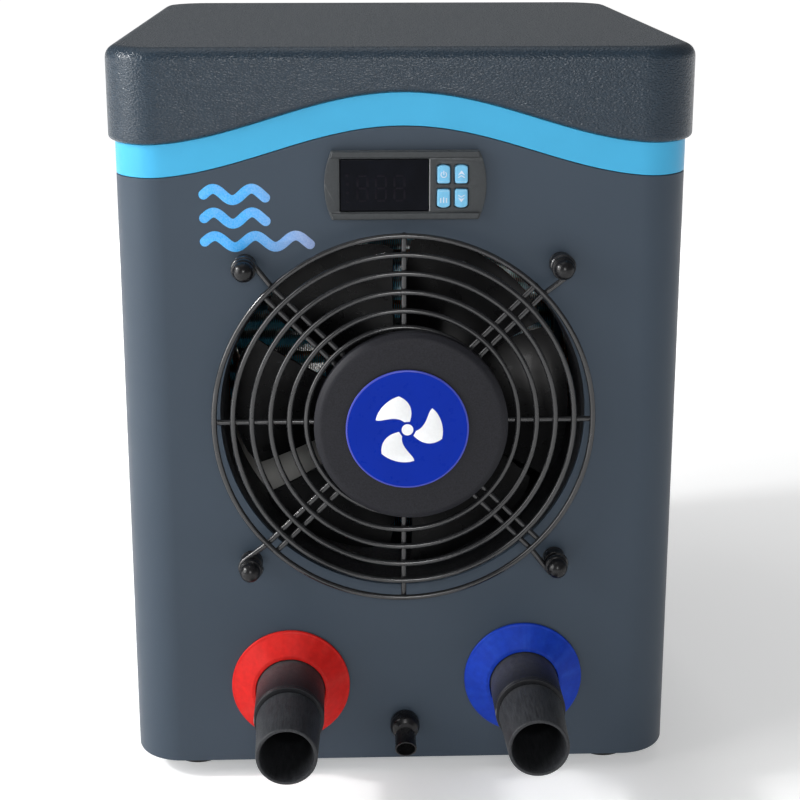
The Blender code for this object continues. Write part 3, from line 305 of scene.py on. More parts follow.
M = {
    # name, colour, roughness, mottle, mottle size, swing, grain, specular
    "casing": finish("casing_plastic", (0.040, 0.056, 0.077), 0.42, 0.02, 60, 0.03, (1.6, 0.02), 0.2),
    "lid": finish("lid_grained_plastic", (0.019, 0.031, 0.045), 0.28, 0.08, 4, 0.05, "leather", 0.3),
    "band": finish("band_plastic", (0.050, 0.355, 0.60), 0.34, 0.03, 40, 0.03, (1.2, 0.01), 0.2),
    "black": finish("moulded_black", (0.012, 0.0125, 0.014), 0.5, 0.25, 6, 0.1, (0.9, 0.05), 0.2,
                    edge_wear_and_highlight=(0.06, 0.06, 0.06)),
    "tail": hose_plastic(),
    "gloss": finish("gloss_black", (0.006, 0.006, 0.007), 0.28, 0.2, 30, 0.04, (2.5, 0.03), 0.3,
                    edge_wear_and_highlight=(0.03, 0.03, 0.03)),
    "hub": finish("hub_stippled_black", (0.0145, 0.0148, 0.0185), 0.5, 0.3, 0.7, 0.08, (0.7, 0.07), 0.15),
    "badge": finish("badge_blue", (0.0, 0.019, 0.30), 0.3, 0.04, 15, 0.04, (1.5, 0.01), 0.08),
    "badge_edge": finish("badge_pale_edge", (0.045, 0.06, 0.38), 0.35, 0.06, specular=0.3),
    "ink": finish("white_ink", (0.80, 0.81, 0.82), 0.4, 0.03, 2),
    "motif": print_gradient("motif_ink", (0.010, 0.33, 0.78), (0.20, 0.30, 0.56), CTRL.x - 85 * MM,
                            CTRL.x - 50 * MM),
    "wire": finish("coated_wire", (0.014, 0.0145, 0.016), 0.2, 0.2, 5, 0.06, (0.9, 0.02), 0.6),
    "blade": finish("blade_plastic", (0.0025, 0.0026, 0.003), 0.3, 0.15, 30, 0.05, (1.2, 0.02), 0.14),
    "motor": finish("motor_paint", (0.018, 0.018, 0.020), 0.45, 0.15, 30, 0.05, (1, 0.04),
                    edge_wear_and_highlight=(0.15, 0.155, 0.16)),
    "steel": finish("bright_steel", (0.55, 0.55, 0.56), 0.28, 0.1, 4, 0.1, (0.4, 0.01), metal=1),
    "sheet": finish("zinc_sheet", (0.42, 0.43, 0.44), 0.42, 0.18, 9, 0.12, (2, 0.02), metal=1),
    "rubber": finish("black_rubber", (0.012, 0.012, 0.012), 0.8, 0.3, 3, 0.05, (0.5, 0.06),
                     scuff=((0.05, 0.049, 0.047), 0.4, 6)),
    "red": flange_plastic("red", (0.50, 0.009, 0.007), (0.60, 0.04, 0.03)),
    "blue": flange_plastic("blue", (0.004, 0.032, 0.34), (0.020, 0.090, 0.52)),
    "bezel": finish("bezel_plastic", (0.036, 0.040, 0.043), 0.46, 0.12, 1.5, 0.07, (0.5, 0.04), 0.25,
                    edge_wear_and_highlight=(0.10, 0.105, 0.11)),
    "trim": finish("pale_trim", (0.20, 0.205, 0.21), 0.4, 0.1, 2),
    # The keys' paler edge colour is a painted highlight along their rounded edges.
    "key": finish("key_silicone", (0.15, 0.43, 0.65), 0.4, 0.08, 3, 0.05, (0.6, 0.02), 0.25,
                  edge_wear_and_highlight=(0.30, 0.50, 0.66), edge_wear_and_highlight_at=(0.52, 0.6)),
    "key_ink": finish("key_ink", (0.55, 0.60, 0.70), 0.5, 0.05, 1),
    "screen": finish("smoked_acrylic", (0.003, 0.0035, 0.006), 0.09, 0.3, 14, 0.03, (12, 0.02), 0.06),
    "segment": finish("unlit_segment", (0.0055, 0.005, 0.008), 0.12, 0.2, specular=0.06),
    "board": finish("circuit_board", (0.010, 0.085, 0.030), 0.45, 0.3, 2, 0.05, (0.8, 0.05)),
    "white": finish("white_pvc", (0.60, 0.60, 0.58), 0.42, 0.04, 30, 0.05, (1.5, 0.03),
                    scuff=((0.45, 0.44, 0.41), 0.3, 18)),
    "titanium": finish("titanium", (0.50, 0.48, 0.45), 0.3, 0.1, 30, 0.08, metal=1),
    "copper": finish("copper_tube", (0.62, 0.27, 0.14), 0.32, 0.25, 7, 0.12, (1, 0.02), metal=1,
                     scuff=((0.25, 0.11, 0.06), 0.6, 12)),
    "fin": fin_coating(low("evaporator_fins").z, FIN_PITCH / 2),
    "compressor": finish("compressor_paint", (0.010, 0.010, 0.011), 0.32, 0.2, 30, 0.08, (1.8, 0.05)),
}


# ---- mesh helpers

def add_object(name, data):
    obj = bpy.data.objects.new(name, data)
    bpy.context.scene.collection.objects.link(obj)
    return obj


def mesh_object(name, bm, mat=None):
    """Ends a bmesh as an object of the scene."""
    mesh = bpy.data.meshes.new(name)
    bm.to_mesh(mesh)
    bm.free()
    if mat:
        mesh.materials.append(mat)
    return add_object(name, mesh)


def even_normals(obj):
    obj.modifiers.new("Weighted", 'WEIGHTED_NORMAL').keep_sharp = True


def piece(name, bm, mat, slot=None, body="casing", replaces=None, angle=38, weighted=False):
    """Turns a bmesh into a smooth-shaded piece that rides on a body and may stand for a node.

    The slot argument is not used."""
    bmesh.ops.recalc_face_normals(bm, faces=bm.faces)
    limit = radians(angle)
    for face in bm.faces:
        face.smooth = True
    for edge in bm.edges:
        edge.smooth = len(edge.link_faces) == 2 and edge.calc_face_angle(0) < limit
    obj = mesh_object(name, bm, M[mat])
    if weighted:
        even_normals(obj)
    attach(obj, body)
    if replaces:
        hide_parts(replaces)


def arc(cx, cy, radius, start, end, steps):
    angles = [radians(start + (end - start) * k / steps) for k in range(steps + 1)]
    return [(cx + radius * cos(a), cy + radius * sin(a)) for a in angles]


def rounded(points, closed=False, steps=5):
    """A flat path with rounded corners; each point is (u, v) or (u, v, radius)."""
    path = []
    count = len(points)
    for i, point in enumerate(points):
        here = Vector(point[:2])
        before = Vector(points[i - 1][:2]) - here
        after = Vector(points[(i + 1) % count][:2]) - here
        corner = len(point) > 2 and (closed or 0 < i < count - 1)
        half = before.angle(after) / 2 if corner else pi / 2
        if half > radians(89):
            path.append(tuple(here))
            continue
        reach = min(point[2] / tan(half), before.length * 0.49, after.length * 0.49)
        radius = reach * tan(half)
        before.normalize()
        after.normalize()
        middle = here + (before + after).normalized() * radius / sin(half)
        first, last = here + before * reach - middle, here + after * reach - middle
        start = atan2(first.y, first.x)
        turn_by = (atan2(last.y, last.x) - start + pi) % (2 * pi) - pi
        for a in [start + turn_by * k / steps for k in range(steps + 1)]:
            path.append((middle.x + radius * cos(a), middle.y + radius * sin(a)))
    return path


def full_turn(count):
    return [2 * pi * k / count for k in range(count)]


def join(bm, a, b, closed=True):
    """Faces between two rows of corners, or two rings if closed."""
    for i in range(len(a) if closed else len(a) - 1):
        j = (i + 1) % len(a)
        bm.faces.new((a[i], a[j], b[j], b[i]))


def lathe(bm, profile, centre, sides, axis=FRONT, closed=False):
    """Turns (radius, height) points round an axis that the heights run along."""
    out = Vector(axis)
    u = Vector((1, 0, 0))
    v = u.cross(out)
    centre = Vector(centre)
    rings = []
    for r, h in profile:
        turns = full_turn(sides) if r > 1e-7 else [0]
        rings.append([bm.verts.new(centre + out * h + (u * cos(a) + v * sin(a)) * r)
                      for a in turns])
    for a, b in zip(rings, rings[1:] + rings[:1] if closed else rings[1:]):
        for k in range(sides):
            n = (k + 1) % sides
            corners = [a[k % len(a)], b[k % len(b)], b[n % len(b)], a[n % len(a)]]
            unique = list(dict.fromkeys(corners))
            if len(unique) > 2:
                bm.faces.new(unique)


def turn(bm, profile, centre, sides, axis=FRONT, closed=False, steps=5):
    """Lathes a profile in millimetres, with its corners rounded."""
    outline = rounded([[value * MM for value in point] for point in profile], closed, steps)
    lathe(bm, outline, centre, sides, axis, closed)
    return bm


def turned(name, profile, centre, sides, mat, axis=FRONT, closed=False, steps=5, **extra):
    """A piece that is one lathed profile."""
    piece(name, turn(bmesh.new(), profile, centre, sides, axis, closed, steps), mat, **extra)


def sweep(bm, points, radius, sides=12, cyclic=False):
    """A round wire or pipe along a list of points, with capped ends."""
    points = [Vector(p) for p in points]
    count = len(points)
    normal = None
    rings = []
    for i, here in enumerate(points):
        before = points[i - 1] if i > 0 or cyclic else here
        after = points[(i + 1) % count] if i < count - 1 or cyclic else here
        ahead = (after - before).normalized()
        if normal is None:
            normal = ahead.orthogonal().normalized()
        normal = (normal - ahead * normal.dot(ahead)).normalized()
        side = ahead.cross(normal)
        rings.append([bm.verts.new(here + (normal * cos(a) + side * sin(a)) * radius)
                      for a in full_turn(sides)])
    for a, b in zip(rings, rings[1:] + rings[:1] if cyclic else rings[1:]):
        join(bm, a, b)
    if not cyclic:
        bm.faces.new(rings[0])
        bm.faces.new(rings[-1][::-1])


def evaluated_mesh(obj):
    bpy.context.view_layer.update()
    graph = bpy.context.evaluated_depsgraph_get()
    return bpy.data.meshes.new_from_object(obj.evaluated_get(graph))


def plate(bm, outlines, front, back, edge=0.3 * MM, rounds=2):
    """A plate facing front with rounded edges; the first outline holds the others as holes."""
    curve = configure(bpy.data.curves.new("plate", 'CURVE'), dimensions='2D', fill_mode='BOTH',
                      extrude=abs(back - front) / 2 - edge, bevel_depth=edge, bevel_resolution=rounds,
                      offset=-edge)
    for outline in outlines:
        spline = curve.splines.new('POLY')
        spline.points.add(len(outline) - 1)
        for point, (u, v) in zip(spline.points, outline):
            point.co = (u, v, 0, 1)
        spline.use_cyclic_u = True
    obj = add_object("plate", curve)
    mesh = evaluated_mesh(obj)
    middle = (front + back) / 2
    for vert in mesh.vertices:
        x, y, z = vert.co
        vert.co = (x, middle - z, y)
    start = len(bm.verts)
    bm.from_mesh(mesh)
    bm.verts.ensure_lookup_table()
    bmesh.ops.remove_doubles(bm, verts=bm.verts[start:], dist=0.002 * MM)
    bpy.data.objects.remove(obj, do_unlink=True)
    bpy.data.meshes.remove(mesh)
    bpy.data.curves.remove(curve)


def plated(name, mat, slabs, slot=None, **extra):
    """A piece made of plates, each given as plate takes it."""
    bm = bmesh.new()
    for slab in slabs:
        plate(bm, *slab)
    piece(name, bm, mat, slot, **extra)


def block(bm, corner_low, corner_high, edge=0.4 * MM):
    """A box with rounded edges."""
    made = bmesh.ops.create_cube(bm, size=1)["verts"]
    size = Vector(corner_high) - Vector(corner_low)
    middle = (Vector(corner_high) + Vector(corner_low)) / 2
    for vert in made:
        vert.co = Vector([c * s for c, s in zip(vert.co, size)]) + middle
    edges = list({e for vert in made for e in vert.link_edges})
    bmesh.ops.bevel(bm, geom=edges, offset=edge, segments=3, affect='EDGES', profile=0.5)


def dome(bm, centre):
    """A weld bead: a small ball, a little stretched from front to back."""
    made = bmesh.ops.create_uvsphere(bm, u_segments=10, v_segments=6, radius=1.75 * MM)["verts"]
    for vert in made:
        vert.co = Vector((vert.co.x, vert.co.y * 1.1, vert.co.z)) + Vector(centre)


def cut(bm, cutters, bevel_width):
    """Cuts holes in a solid, cleans its flat faces and rounds the new edges."""
    shapes = []
    for shape in [bm] + cutters:
        bmesh.ops.recalc_face_normals(shape, faces=shape.faces)
        shapes.append(mesh_object("shape", shape))
    for tool in shapes[1:]:
        configure(shapes[0].modifiers.new("Cut", 'BOOLEAN'), operation='DIFFERENCE', solver='EXACT',
                  object=tool)
    made = bmesh.new()
    made.from_mesh(evaluated_mesh(shapes[0]))
    bmesh.ops.dissolve_limit(made, angle_limit=radians(0.4), verts=made.verts, edges=made.edges)
    for shape in shapes:
        bpy.data.objects.remove(shape, do_unlink=True)
    if bevel_width:
        sharp = [e for e in made.edges if len(e.link_faces) == 2
                 and e.calc_face_angle(0) > radians(60)]
        bmesh.ops.bevel(made, geom=sharp, offset=bevel_width, segments=3, affect='EDGES', profile=0.5,
                        clamp_overlap=True)
    return made


def rod_cutter(radius, y_low, y_high, centre, z, sides):
    """A cylinder along y, on the x of a centre and at a height z."""
    bm = bmesh.new()
    long = y_high - y_low
    lathe(bm, [(0, 0), (radius, 0), (radius, long), (0, long)], (centre.x, y_low, z), sides, REAR)
    return bm


def box_cutter(corner_low, corner_high, edge=0.3 * MM):
    bm = bmesh.new()
    block(bm, corner_low, corner_high, edge)
    return bm


# ---- casing

def edge_z(x):
    """Height of the lid's lower edge at x."""
    if abs(x) >= WAVE_HALF:
        return EDGE_Z
    return EDGE_Z + WAVE_RISE * (0.5 + 0.5 * cos(pi * x / WAVE_HALF))


def half_plan(inset, side, seam, pinch=0.0, steps=14, samples=72):
    """Plan of the front (side -1) or rear half, left to right; pinch narrows it at the seam."""
    half = HALF_W - inset
    radius = CASE_R - inset
    y_face = (FRONT_Y + inset) if side < 0 else (REAR_Y - inset)
    cy = y_face - side * radius
    cx = half - radius
    left = arc(-cx, cy, radius, 180, 180 - side * 90, steps)
    right = arc(cx, cy, radius, side * 90, 0, steps)
    span = [(-cx + 2 * cx * k / samples, y_face) for k in range(1, samples)]
    ends = [(half - pinch, seam), (half, seam + side * 0.7 * MM)]
    return [(-x, y) for x, y in ends] + left + span + right + ends[::-1]


def whole_plan(inset):
    front = half_plan(inset, -1, SEAM_Y)
    rear = half_plan(inset, 1, SEAM_Y)
    return front[1:-1] + rear[::-1][1:-1]


def loft(bm, plans, closed):
    """Joins plans in order into a closed ring or, if the plans are open, a closed strip."""
    rings = [[bm.verts.new(point) for point in plan] for plan in plans]
    for a, b in zip(rings, rings[1:] + rings[:1]):
        join(bm, a, b, closed)
    if not closed:
        bm.faces.new([ring[0] for ring in rings])
        bm.faces.new([ring[-1] for ring in rings][::-1])


def casing_half(side):
    """One half shell: round its lower edge, up the outside, over the band's shelf and down."""
    r = 0.8 * MM
    shelf = BAND_T + GAP

    def low_line(lift):
        return lambda x: CASE_BOTTOM + lift

    def seat(drop):
        return lambda x: edge_z(x) - BAND_H - GAP - drop

    def tuck(x):
        return edge_z(x) + TUCK

    levels = [(r, low_line(0), 0), (0.3 * r, low_line(0.3 * r), 0.3 * MM), (0, low_line(r), 0.45 * MM),
              (0, seat(0.5 * MM), 0.45 * MM), (0.15 * MM, seat(0.15 * MM), 0.3 * MM),
              (0.5 * MM, seat(0), 0), (shelf, seat(0), 0), (shelf, tuck, 0), (WALL, tuck, 0),
              (WALL, low_line(0), 0)]
    bm = bmesh.new()
    seam = SEAM_Y + side * GAP / 2
    loft(bm, [[(x, y, height(x)) for x, y in half_plan(inset, side, seam, pinch)]
              for inset, height, pinch in levels], False)
    return bm


def make_casings():
    near, far = FRONT_Y - 2 * MM, FRONT_Y + 6 * MM
    cutters = [rod_cutter(OPENING_R, near, far, FAN, FAN.z, 160)]
    for side in ("left", "right"):
        port = mid("hose_adapter_" + side)
        cutters.append(rod_cutter(17.6 * MM, near, far, port, port.z, 64))
    cutters.append(rod_cutter(5.5 * MM, near, far, mid("drain_nozzle"), NOZZLE_Z, 40))
    half_x, half_z = 36.3 * MM, 15.5 * MM
    cutters.append(box_cutter((CTRL.x - half_x, near, CTRL.z - half_z),
                              (CTRL.x + half_x, far, CTRL.z + half_z)))
    piece("casing_front", cut(casing_half(-1), cutters, 0.55 * MM), "casing", replaces="front_casing",
          weighted=True)
    grille_low, grille_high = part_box("rear_grille")
    near, far = REAR_Y - 6 * MM, REAR_Y + 3 * MM
    gland = mid("cable_gland")
    cutters = [box_cutter((grille_low.x + GRILLE_EDGE, near, grille_low.z + GRILLE_EDGE),
                          (grille_high.x - GRILLE_EDGE, far, grille_high.z - GRILLE_EDGE)),
               rod_cutter(6.5 * MM, near, far, gland, gland.z, 48)]
    piece("casing_rear", cut(casing_half(1), cutters, 0.55 * MM), "casing", replaces="rear_casing",
          weighted=True)


def make_band():
    bm = bmesh.new()
    r = 0.25 * MM
    levels = [(r, -BAND_H), (0, r - BAND_H), (0, -r), (r, 0), (BAND_T, 0), (BAND_T, -BAND_H)]
    loft(bm, [[(x, y, edge_z(x) + lift) for x, y in whole_plan(inset)] for inset, lift in levels], True)
    piece("waist_band", bm, "band", replaces="accent_band", weighted=True)


def make_lid():
    """The deep cap: rolled lower edge, wavy skirt, soft upper edge and a flat top."""
    roll, wall, steps = 2.7 * MM, 3 * MM, 8
    turns = [pi / 2 * k / steps for k in range(steps + 1)]
    levels = [(LID_ROUND, LID_TOP - wall, False), (wall, LID_TOP - LID_ROUND, False), (wall, GAP, True)]
    levels += [(roll * (1 - sin(a)), GAP + roll * (1 - cos(a)), True) for a in turns]
    levels += [(LID_ROUND * (1 - cos(a)), LID_TOP - LID_ROUND * (1 - sin(a)), False)
               for a in turns]
    bm = bmesh.new()
    rings = [[bm.verts.new((x, y, edge_z(x) + z if wavy else z)) for x, y in whole_plan(inset - LID_OUT)]
             for inset, z, wavy in levels]
    for a, b in zip(rings, rings[1:]):
        join(bm, a, b)
    bm.faces.new(rings[0])
    bm.faces.new(rings[-1])
    piece("lid_cap", bm, "lid", replaces="top_lid", weighted=True)


def ribbon(points, width):
    """The outline of a stroke of one width along a flat path, with round ends."""
    half = width / 2
    sides = [[], []]
    for i, here in enumerate(points):
        before = Vector(points[max(i - 1, 0)])
        after = Vector(points[min(i + 1, len(points) - 1)])
        ahead = (after - before).normalized()
        across = Vector((-ahead.y, ahead.x)) * half
        sides[0].append(tuple(Vector(here) + across))
        sides[1].append(tuple(Vector(here) - across))
    caps = []
    for end, inner in ((points[-1], points[-2]), (points[0], points[1])):
        ahead = degrees(atan2(end[1] - inner[1], end[0] - inner[0]))
        caps.append(arc(end[0], end[1], half, ahead + 90, ahead - 90, 8)[1:-1])
    return sides[0] + caps[0] + sides[1][::-1] + caps[1]


def make_motif():
    """Three rows of printed waves on the front panel, in place of lettering."""
    left, top = CTRL.x - 105 * MM, CTRL.z - 5 * MM
    slabs = []
    for row, (waves, length) in enumerate(((1.6, 32 * MM), (1.6, 32 * MM), (2.6, 55 * MM))):
        z = top - row * 12.5 * MM
        path = [(left + t * length, z + 3.0 * MM * sin(2 * pi * waves * t))
                for t in [k / 60 for k in range(61)]]
        slabs.append(([ribbon(path, 5.2 * MM)], FRONT_Y - 0.1 * MM, FRONT_Y + 0.3 * MM, 0.03 * MM, 1))
    plated("wave_motif", "motif", slabs, "band")


def make_feet():
    for name in ("foot_front_left", "foot_front_right", "foot_rear_left", "foot_rear_right"):
        centre = mid(name)
        top = high(name).z / MM
        turned("rubber_" + name, [(0, 0), (9, 0), (9, 0.8, 0.2), (11, 0.8, 0.2), (11, 0), (14, 0, 0.8),
                                  (15, 2.2, 0.8), (13, 9, 0.6), (12, top, 0.4), (0, top)],
               (centre.x, centre.y, 0), 56, "rubber", UP, replaces=name)


def slot_outline(x0, x1, z0, z1, radius):
    return rounded([(x0, z0, radius), (x1, z0, radius), (x1, z1, radius), (x0, z1, radius)], True, 5)


def make_rear_grille():
    """The louvre plate in the rear opening, its slots rounded and their edges softened."""
    box_low, box_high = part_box("rear_grille")
    x0, x1 = box_low.x + GRILLE_EDGE + GAP, box_high.x - GRILLE_EDGE - GAP
    z0, z1 = box_low.z + GRILLE_EDGE + GAP, box_high.z - GRILLE_EDGE - GAP
    rows, columns = 18, 2
    pitch_z = (z1 - z0 + 2 * GAP - 16 * MM) / rows
    pitch_x = (x1 - x0 + 2 * GAP - 12 * MM) / columns
    half_x, half_z = pitch_x / 2 - 4 * MM, pitch_z / 2 - 3.25 * MM
    outlines = [slot_outline(x0, x1, z0, z1, 2 * MM)]
    for row in range(rows):
        for column in range(columns):
            cx = (column - (columns - 1) / 2) * pitch_x
            cz = z0 - GAP + 8 * MM + (row + 0.5) * pitch_z
            outlines.append(slot_outline(cx - half_x, cx + half_x, cz - half_z, cz + half_z, 2.6 * MM))
    lip = 3 * MM
    flange = [slot_outline(box_low.x, box_high.x, box_low.z, box_high.z, 4 * MM),
              slot_outline(x0 + lip, x1 - lip, z0 + lip, z1 - lip, 2 * MM)]
    plated("rear_louvre", "black", [(outlines, box_low.y + 0.5 * MM, box_high.y, 0.6 * MM),
                                    (flange, box_low.y, box_low.y + 2 * MM)], replaces="rear_grille")
    bm = bmesh.new()
    for sx in (-1, 1):
        for z in (z0 + 3.6 * MM, (z0 + z1) / 2, z1 - 3.6 * MM):
            screw(bm, (sx * (x1 - 4.5 * MM), box_high.y, z), 2.2 * MM)
    piece("grille_screws", bm, "steel")


def screw(bm, at, radius):
    """A rear-facing pan-head screw with a cross recess."""
    profile = [(0, 0.55), (0.2, 0.55), (0.75, 0.5, 0.3), (1, 0.1, 0.1), (1, -0.2), (0, -0.2)]
    head = bmesh.new()
    lathe(head, rounded([[value * radius for value in point] for point in profile]), at, 32, REAR)
    x, y, z = at
    bars = [box_cutter((x - long_x * radius, y + 0.25 * radius, z - long_z * radius),
                       (x + long_x * radius, y + radius, z + long_z * radius), 0.02 * MM)
            for long_x, long_z in ((0.62, 0.13), (0.13, 0.62))]
    made = cut(head, bars, 0)
    mesh = bpy.data.meshes.new("screw")
    made.to_mesh(mesh)
    made.free()
    bm.from_mesh(mesh)
    bpy.data.meshes.remove(mesh)


# ---- fan and guard

def ring_path(radius, y, steps):
    return [(FAN.x + x, y, FAN.z + z) for x, z in arc(0, 0, radius, 0, 360 - 360 / steps, steps - 1)]


def diagonal_wires(angle, y):
    """The two wires of a diagonal spoke; the end of one curls round a post's neck."""
    loop_r = NECK_R + WIRE_R + GAP
    post = mid("guard_post_top_right")
    post_r = hypot(post.x - FAN.x, post.z - FAN.z)
    curl = arc(post_r, 0, loop_r, -104, 135, 30)
    hooked = rounded([(RINGS[0], -TWIN), (post_r - 17 * MM, -TWIN, 12 * MM), curl[0]], False, 6)[:-1] + curl
    plain = [(RINGS[0], TWIN), (RINGS[-1] + 0.6 * MM, TWIN)]
    c, s = cos(angle), sin(angle)
    return [[(FAN.x + u * c - v * s, y, FAN.z + u * s + v * c) for u, v in path] for path in (hooked, plain)]


def make_guard():
    bm = bmesh.new()
    for radius in RINGS:
        sweep(bm, ring_path(radius, RING_Y, 132), WIRE_R, 12, True)
    bead_y = (RING_Y + SPOKE_Y) / 2
    for quarter in range(4):
        angle = quarter * pi / 2
        c, s = cos(angle), sin(angle)
        sweep(bm, [(FAN.x + r * c, SPOKE_Y, FAN.z + r * s) for r in (RINGS[0], SPOKE_END)], WIRE_R)
        diagonal = angle + pi / 4
        u, v = cos(diagonal), sin(diagonal)
        for path in diagonal_wires(diagonal, SPOKE_Y):
            sweep(bm, path, WIRE_R)
        for radius in RINGS:
            dome(bm, (FAN.x + radius * c, bead_y, FAN.z + radius * s))
            for side in (-TWIN, TWIN):
                along = sqrt(radius * radius - side * side)
                dome(bm, (FAN.x + along * u - side * v, bead_y, FAN.z + along * v + side * u))
    piece("guard_wires", bm, "wire", replaces="fan_guard")


def make_hub():
    """The stippled disc, the badge with its pale edge, and the fan sign on the badge."""
    base, face = proud("guard_hub_disc")
    radius = radius_mm("guard_hub_disc")
    profile = [(0, face), (48.4, face - 0.9, 5), (50.7, base + 5.6, 0.5), (radius, base + 4.8, 0.35),
               (radius, base, 0.4), (49.3, base, 0.4), (44, face - 3.6, 2), (0, face - 2.8)]
    turned("hub_disc", profile, on_front("guard_hub_disc"), 160, "hub", steps=6, replaces="guard_hub_disc")

    back, face = proud("guard_badge")
    radius = radius_mm("guard_badge")
    at = on_front("guard_badge")
    disc = radius - 0.9
    turned("badge_face", [(0, face), (disc, face - 0.05), (disc, back), (0, back)], at, 128, "badge",
           replaces="guard_badge")
    rim = radius - 0.88
    turned("badge_rim", [(rim, back), (rim, face + 0.02, 0.1), (radius, face - 0.3, 0.3), (radius, back)],
           at, 128, "badge_edge", closed=True, steps=4, slot="badge")
    centre = mid("guard_badge")
    front = low("guard_badge").y
    signs = [fan_blade(centre, 90 + 120 * k) for k in range(3)]
    signs.append(arc(centre.x, centre.z, 3.1 * MM, 0, 350, 35))
    plated("badge_fan_sign", "ink", [([outline], front - 0.06 * MM, front + 0.3 * MM, 0.03 * MM, 1)
                                     for outline in signs], "badge")


def fan_blade(centre, start):
    """One petal of a plain fan sign: a curved back edge, a round tip and a straighter front."""
    near, far = 4.6 * MM, 19 * MM
    points = [(near + (far - near) * t, start - 16 + 30 * t * t) for t in [k / 12 for k in range(13)]]
    points += [(far - 1.2 * MM * t, start + 14 + 56 * t) for t in [k / 9 for k in range(1, 9)]]
    points += [(near + (far - 1.4 * MM - near) * t, start + 22 + 50 * sin(t * pi / 2))
               for t in [1 - k / 12 for k in range(13)]]
    return [(centre.x + r * cos(radians(a)), centre.z + r * sin(radians(a)))
            for r, a in points]


def make_posts():
    """Guard posts with a ball cap, a neck for the hooked wire and a groove near the foot."""
    neck, near, far = NECK_R / MM, 7.9, 11.5
    ball_r = 5.5
    for corner in ("top_left", "top_right", "bottom_left", "bottom_right"):
        name = "guard_post_" + corner
        post = radius_mm("guard_post_top_left")
        reach = proud(name)[1]
        middle = reach - ball_r
        ball = [(r, middle + h) for r, h in arc(0, 0, ball_r, 90, 8, 14)]
        ball[0] = (0, reach)
        profile = ball + [
            (ball_r - 0.1, middle - 0.6), (ball_r - 0.35, middle - 1.1, 0.2),
            (post - 0.2, middle - 1.5, 0.5), (post, middle - 2.4, 0.4), (post, far, 0.5),
            (neck, far, 0.3), (neck, near, 0.3), (post, near, 0.5), (post, 2.2, 0.3),
            (post - 0.5, 1.9, 0.2), (post - 0.5, 1.3, 0.2), (post, 1.0, 0.2), (post, GAP_MM, 0.1),
            (0, GAP_MM)]
        turned("post_cap_" + corner, profile, on_front(name), 56, "gloss", steps=4, slot="gloss_black",
               replaces=name)


def make_shroud():
    far, near = proud("fan_shroud")
    outer, inner = high("fan_shroud").x / MM, 97
    profile = [(outer, near, 0.3), (outer, near - 2, 0.3), (inner + 2.5, near - 2, 1),
               (inner + 2.5, far, 0.4), (inner, far, 0.4), (inner, near - 2.5, 2), (inner + 1.8, near, 0.8)]
    turned("venturi_ring", profile, FAN, 144, "black", closed=True, replaces="fan_shroud")


def blade_point(blade, u, v):
    """A point of a blade's middle surface, u from root to tip and v from edge to edge."""
    root = (CUP_R_MM - 1.2) * MM
    radius = root + (BLADE_TIP - 0.6 * MM - root) * u
    angle = radians(BLADE_START + 360 * blade / BLADES - 3 * u + v * (54 - u))
    radius -= 4 * (abs(2 * v - 1) ** 6) * u ** 4 * MM
    depth = (33 - 9 * u) * MM
    y = FRONT_Y + 25 * MM + (v - 0.5) * depth + 12 * MM * v * (1 - v)
    return Vector((FAN.x + radius * cos(angle), y, FAN.z + radius * sin(angle)))


def blade_faces(bm, blade):
    """Two skins on either side of the middle surface and the border between them."""
    across, along = 12, 18
    step = 0.01
    front, back = [], []
    for i in range(across + 1):
        front.append([])
        back.append([])
        for j in range(along + 1):
            u, v = i / across, j / along
            du = blade_point(blade, min(u + step, 1), v) - blade_point(blade, max(u - step, 0), v)
            dv = blade_point(blade, u, min(v + step, 1)) - blade_point(blade, u, max(v - step, 0))
            belly = sin(pi * min(max(v, 0.04), 0.96)) ** 0.5
            thick = (1.15 - 0.35 * u) * MM * (0.3 + 0.7 * belly) * (0.5 if u > 0.97 else 1)
            out = du.cross(dv).normalized() * thick
            here = blade_point(blade, u, v)
            front[i].append(bm.verts.new(here + out))
            back[i].append(bm.verts.new(here - out))
    for i in range(across):
        for j in range(along):
            bm.faces.new((front[i][j], front[i + 1][j], front[i + 1][j + 1], front[i][j + 1]))
            bm.faces.new((back[i][j], back[i][j + 1], back[i + 1][j + 1], back[i + 1][j]))
    border = ([(i, 0) for i in range(across)] + [(across, j) for j in range(along)]
              + [(i, along) for i in range(across, 0, -1)] + [(0, j) for j in range(along, 0, -1)])
    join(bm, [front[i][j] for i, j in border], [back[i][j] for i, j in border])


def make_rotor():
    """The moulded fan: a cup with six swept blades of tapering section."""
    bore, rear, front = 4.3, -46, -3
    inner = CUP_R_MM - 3
    bm = turn(bmesh.new(), [(bore, rear), (CUP_R_MM, rear, 2), (CUP_R_MM, front, 0.8), (inner, front, 0.8),
                            (inner, rear + 3, 1), (bore, rear + 3)], FAN, 96, closed=True, steps=4)
    for blade in range(BLADES):
        blade_faces(bm, blade)
    piece("fan_wheel", bm, "blade", body="fan", replaces="fan_rotor", angle=50)


def make_motor():
    end, front = proud("fan_motor")
    pocket, shaft = 9.3, 6
    profile = [(0, front), (40, front, 1), (40, front - 3, 0.6), (36, front - 4, 0.6), (36, end, 1),
               (pocket, end), (pocket, end + 9.6), (shaft, end + 9.6), (shaft, -9.9), (pocket, -9.9),
               (pocket, 0), (0, 0)]
    turned("motor_body", profile, FAN, 72, "motor", steps=4, replaces="fan_motor")


# ---- controller

def key_outline(x, z, w, h, flip):
    """A key with one arched end, up if flip is 1 and down if it is -1."""
    shoulder = h - 1.6 * MM
    rise = [(x + w * sin(t), z + flip * (shoulder + 1.6 * MM * cos(t)))
            for t in [radians(-90 + 15 * k) for k in range(13)]]
    foot = rounded([(x + w, z), (x + w, z - flip * h, 1.2 * MM), (x - w, z - flip * h, 1.2 * MM), (x - w, z)],
                   False, 5)
    return rise + foot[1:-1]


def stroke(points, x, z, width=0.5):
    """A round-ended stroke along millimetre points about a place on the panel."""
    return ribbon(moved(points, x, z), width * MM)


